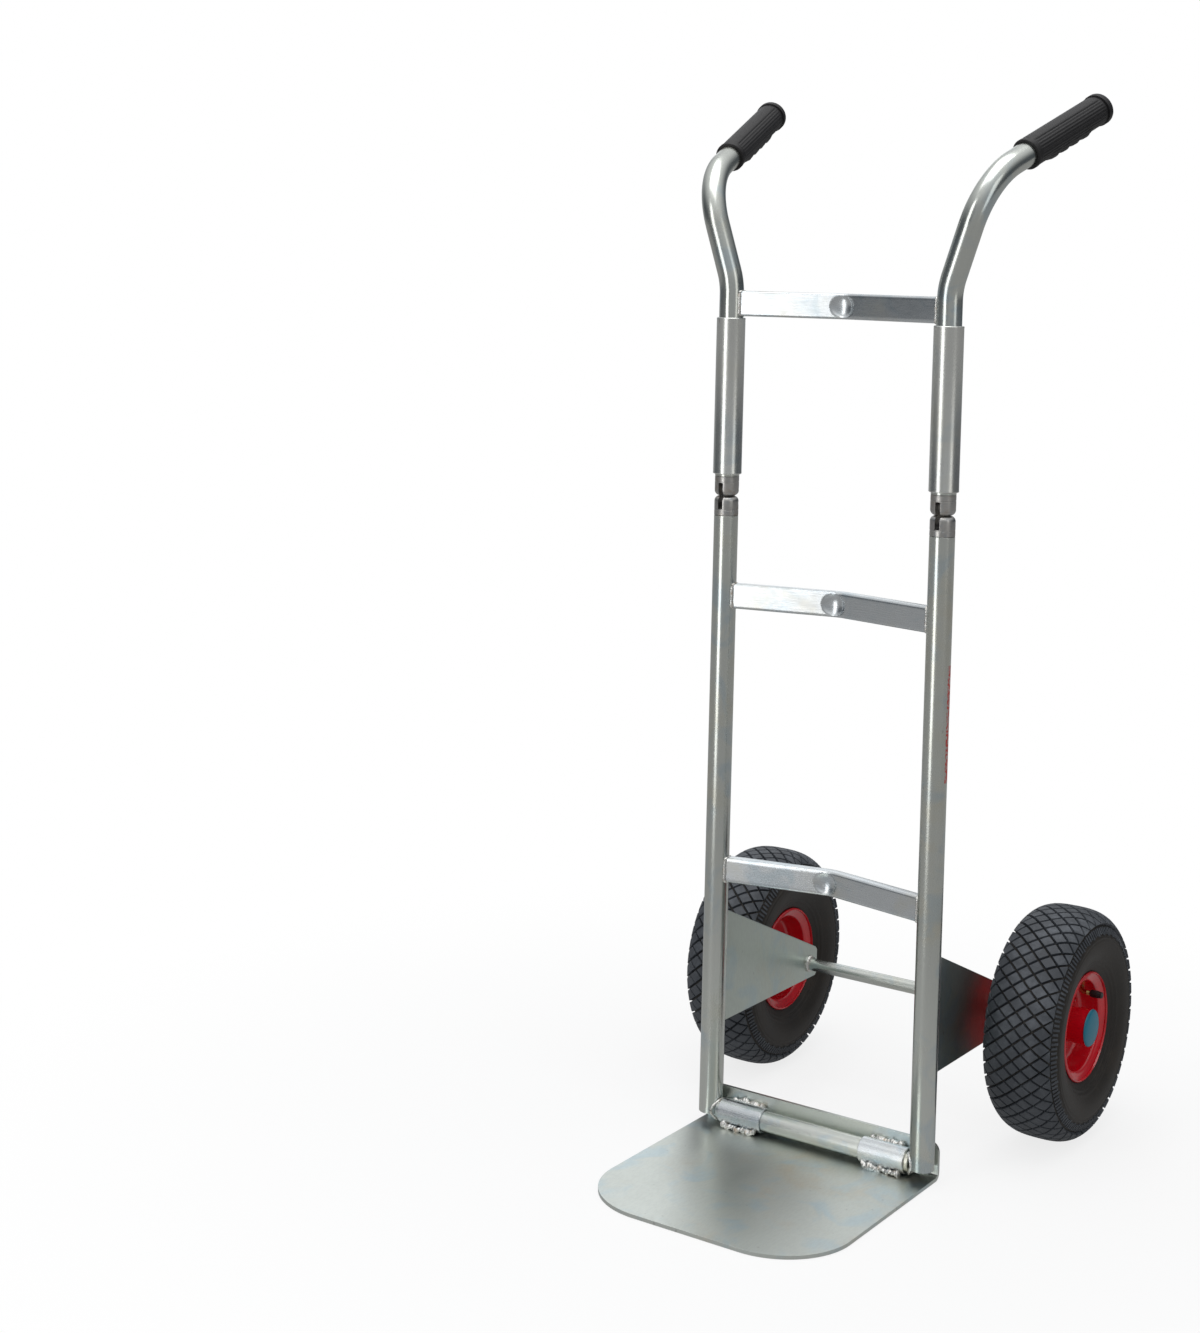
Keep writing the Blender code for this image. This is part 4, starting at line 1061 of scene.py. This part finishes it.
def valve(side, sign, centre):
    out = Vector((0, math.cos(VALVE_ANGLE), math.sin(VALVE_ANGLE)))
    middle = Vector(centre)
    base = middle + Vector((sign * 0.0115, 0, 0)) + out * 0.0585
    corner = middle + Vector((sign * 0.0115, 0, 0)) + out * VALVE_RADIUS
    tip = middle + Vector((sign * 0.024, 0, 0)) + out * VALVE_RADIUS
    path = rounded_path([base, corner, tip], [0.0062], math.radians(7), 0.0006)

    def stem(i):
        threads = 0.00018 * math.cos(2 * math.pi * i / 2) if i > len(path) - 9 else 0
        collar = 0.0006 if 2 < i < 7 else 0
        return circle(0.0026 + threads + collar, 20)

    piece(f"valve_stem_{side}", carried(path, stem, (sign, 0, 0))[1], "brass", f"wheel_{side}",
          (f"valve_{side}",))
    low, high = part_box(f"valve_cap_{side}")
    start, end = (low[0], high[0]) if sign > 0 else (high[0], low[0])
    place = middle_of(f"valve_cap_{side}")
    radius = 0.00425
    rings = []
    for part, ring in ((0, 0.92), (0.04, 1.0), (0.62, 1.0), (0.70, 0.90), (0.92, 0.84), (1.0, 0.62)):
        x = start + (end - start) * part
        knurl = 0.0003 if 0 < part < 0.65 else 0
        outer, inner = circle(radius * ring, 32), circle(radius * ring - knurl, 32)
        knurled = [pair[i % 2] for i, pair in enumerate(zip(outer, inner))]
        rings.append([(x, place.y + u, place.z + v) for u, v in knurled])
    piece(f"knurled_valve_cap_{side}", skin(rings), "black", f"wheel_{side}",
          (f"valve_cap_{side}",))


# --- Label and marking ---
def curved_patch(name, finish, body, centre, radius, turn, width, z_low, z_high):
    """A thin patch wrapped on an upright tube: turn is the side of the tube it is on."""
    half = width / 2 / radius
    rings = []
    for z in [z_low + (z_high - z_low) * i / 30 for i in range(31)]:
        ring = []
        for face in (radius + 0.00012, radius - 0.0002):
            angles = [turn - half + 2 * half * i / 8 for i in range(9)]
            if face < radius:
                angles.reverse()
            ring += [(centre[0] + face * math.cos(a), centre[1] + face * math.sin(a), z) for a in angles]
        rings.append(ring)
    piece(name, skin(rings), finish, body)


def blank_label():
    """A plain sticker on the rear face of the handle's crossbar."""
    low, high = box_of("crossbar_handle")
    middle_z = (low.z + high.z) / 2
    slope = BAR_SETBACK / (TRACK / 2)
    lean = math.atan(slope)
    start, length, half_height, sunk, proud = 0.030, 0.074, 0.0098, 0.0002, 0.00018
    rings = []
    for i in range(13):
        x = start + length * i / 12
        rear = BAR_SETBACK - slope * x + BAR_DEPTH / 2 / math.cos(lean)
        rings.append([(x, rear + y, middle_z + z) for y, z in (
            (-sunk, -half_height), (-sunk, half_height), (proud, half_height), (proud, -half_height))])
    piece("blank_label", skin(rings), "label", "handle_frame")


# --- Stage ---
def stage():
    builder = bmesh.new()
    bmesh.ops.create_circle(builder, cap_ends=True, segments=96, radius=14.0,
                            matrix=Matrix.Translation((0, 0, -0.0004)))
    mesh = mesh_of("floor", builder)
    mesh.materials.append(FINISH["floor"])
    floor = new_object("floor", mesh)


def softbox(name, place, target, width, height, power, colour=(1, 1, 1)):
    light = bpy.data.lights.new(name, "AREA")
    light.shape, light.size, light.size_y = "RECTANGLE", width, height
    light.energy, light.color = power, colour
    lamp = new_object(name, light)
    lamp.location = place
    lamp.rotation_mode = "QUATERNION"
    lamp.rotation_quaternion = (Vector(target) - Vector(place)).to_track_quat("-Z", "Y")


def lighting():
    world = bpy.data.worlds.new("studio")
    bpy.context.scene.world = world
    world.use_nodes = True
    tree = world.node_tree
    around = add(tree, "TexCoord").outputs["Generated"]
    height = add(tree, "SeparateXYZ", Vector=around).outputs["Z"]
    facing = add(tree, "VectorMath", {"operation": "DOT_PRODUCT"}, _0=around, _1=(0.72, 0.69, 0.0))
    sideways = add(tree, "Math", {"operation": "ABSOLUTE"}, _0=facing.outputs["Value"]).outputs[0]
    end_wall = ramp(tree, sideways, 0.35, 0.85)
    walls = blend_colour(tree, end_wall, (0.36, 0.37, 0.38, 1), (0.07, 0.08, 0.09, 1))
    room = blend_colour(tree, ramp(tree, height, 0.15, 0.9), walls, (0.80, 0.81, 0.82, 1))
    seen = add(tree, "LightPath").outputs["Is Camera Ray"]
    colour = blend_colour(tree, seen, room, (1, 1, 1, 1))
    background = tree.nodes["Background"]
    tree.links.new(colour, background.inputs["Color"])
    softbox("front_softbox", (-0.44, -1.72, 1.05), (0, 0, 1.05), 0.62, 2.3, 10.0)
    softbox("right_softbox", (2.6, -0.5, 1.5), (0, 0, 0.5), 0.9, 1.8, 4.5, (1.0, 0.98, 0.94))
    softbox("rear_left_softbox", (-1.8, 2.6, 1.6), (0, 0, 0.5), 1.1, 1.9, 4.5, (0.95, 0.98, 1.0))
    softbox("top_softbox", (0, -0.2, 3.2), (0, 0, 0), 2.2, 2.2, 24)
    bpy.context.scene.view_settings.view_transform = "Standard"
    bpy.context.scene.view_settings.look = "None"


def camera():
    azimuth, elevation, roll = math.radians(34.81), math.radians(3.95), math.radians(1.25)
    target, distance = Vector((-0.5605, 0.3633, 0.7727)), 3.0
    level = math.cos(elevation)
    away = Vector((math.sin(azimuth) * level, -math.cos(azimuth) * level, math.sin(elevation)))
    lens = bpy.data.cameras.new("camera")
    lens.sensor_width, lens.lens = 36.0, 59.5
    lens.shift_y = -0.1916
    lens.clip_end = 60.0
    body = new_object("camera", lens)
    body.location = target + away * distance
    body.rotation_mode = "QUATERNION"
    body.rotation_quaternion = (-away).to_track_quat("-Z", "Y") @ Quaternion((0, 0, 1), roll)
    bpy.context.scene.camera = body


# --- The truck ---
def build():
    crossbar("crossbar_lower", "lower_frame", "lower")
    crossbar("crossbar_middle", "lower_frame", "middle")
    crossbar("crossbar_handle", "handle_frame", "handle")
    axle_pieces()
    toe_plate()
    toe_hinge()
    blank_label()
    for side, sign in SIDES.items():
        upright(side, sign)
        sleeve(side)
        handle_tube(side, sign)
        grip(side, sign)
        end_plug(f"lower_plug_{side}", "lower_frame", 1)
        end_plug(f"upper_plug_{side}", "handle_frame", -1)
        pivot_pin(f"lower_pin_{side}", "lower_frame")
        pivot_pin(f"upper_pin_{side}", "handle_frame")
        fold_link(side)
        gusset(side, sign)
        centre = middle_of(f"tyre_{side}")
        low, high = box_of(f"tyre_{side}")
        crown = Crown(centre, (high.z - low.z) / 2 / SECTION_RADIUS)
        tyre_carcass(side, crown)
        tyre_tread(side, crown)
        rim(side, sign, centre)
        bearings(side)
        hub_cap(side, sign, centre)
        valve(side, sign, centre)
        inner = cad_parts[f"inner_tube_{side}"]
        inner.material_slots[0].material = FINISH["tube_rubber"]
    curved_patch("red_marking_stripe", "ink", "lower_frame", (TRACK / 2, 0), TUBE_RADIUS,
                 math.radians(2), 0.0065, 0.436, 0.561)


camera()
lighting()
stage()
build()
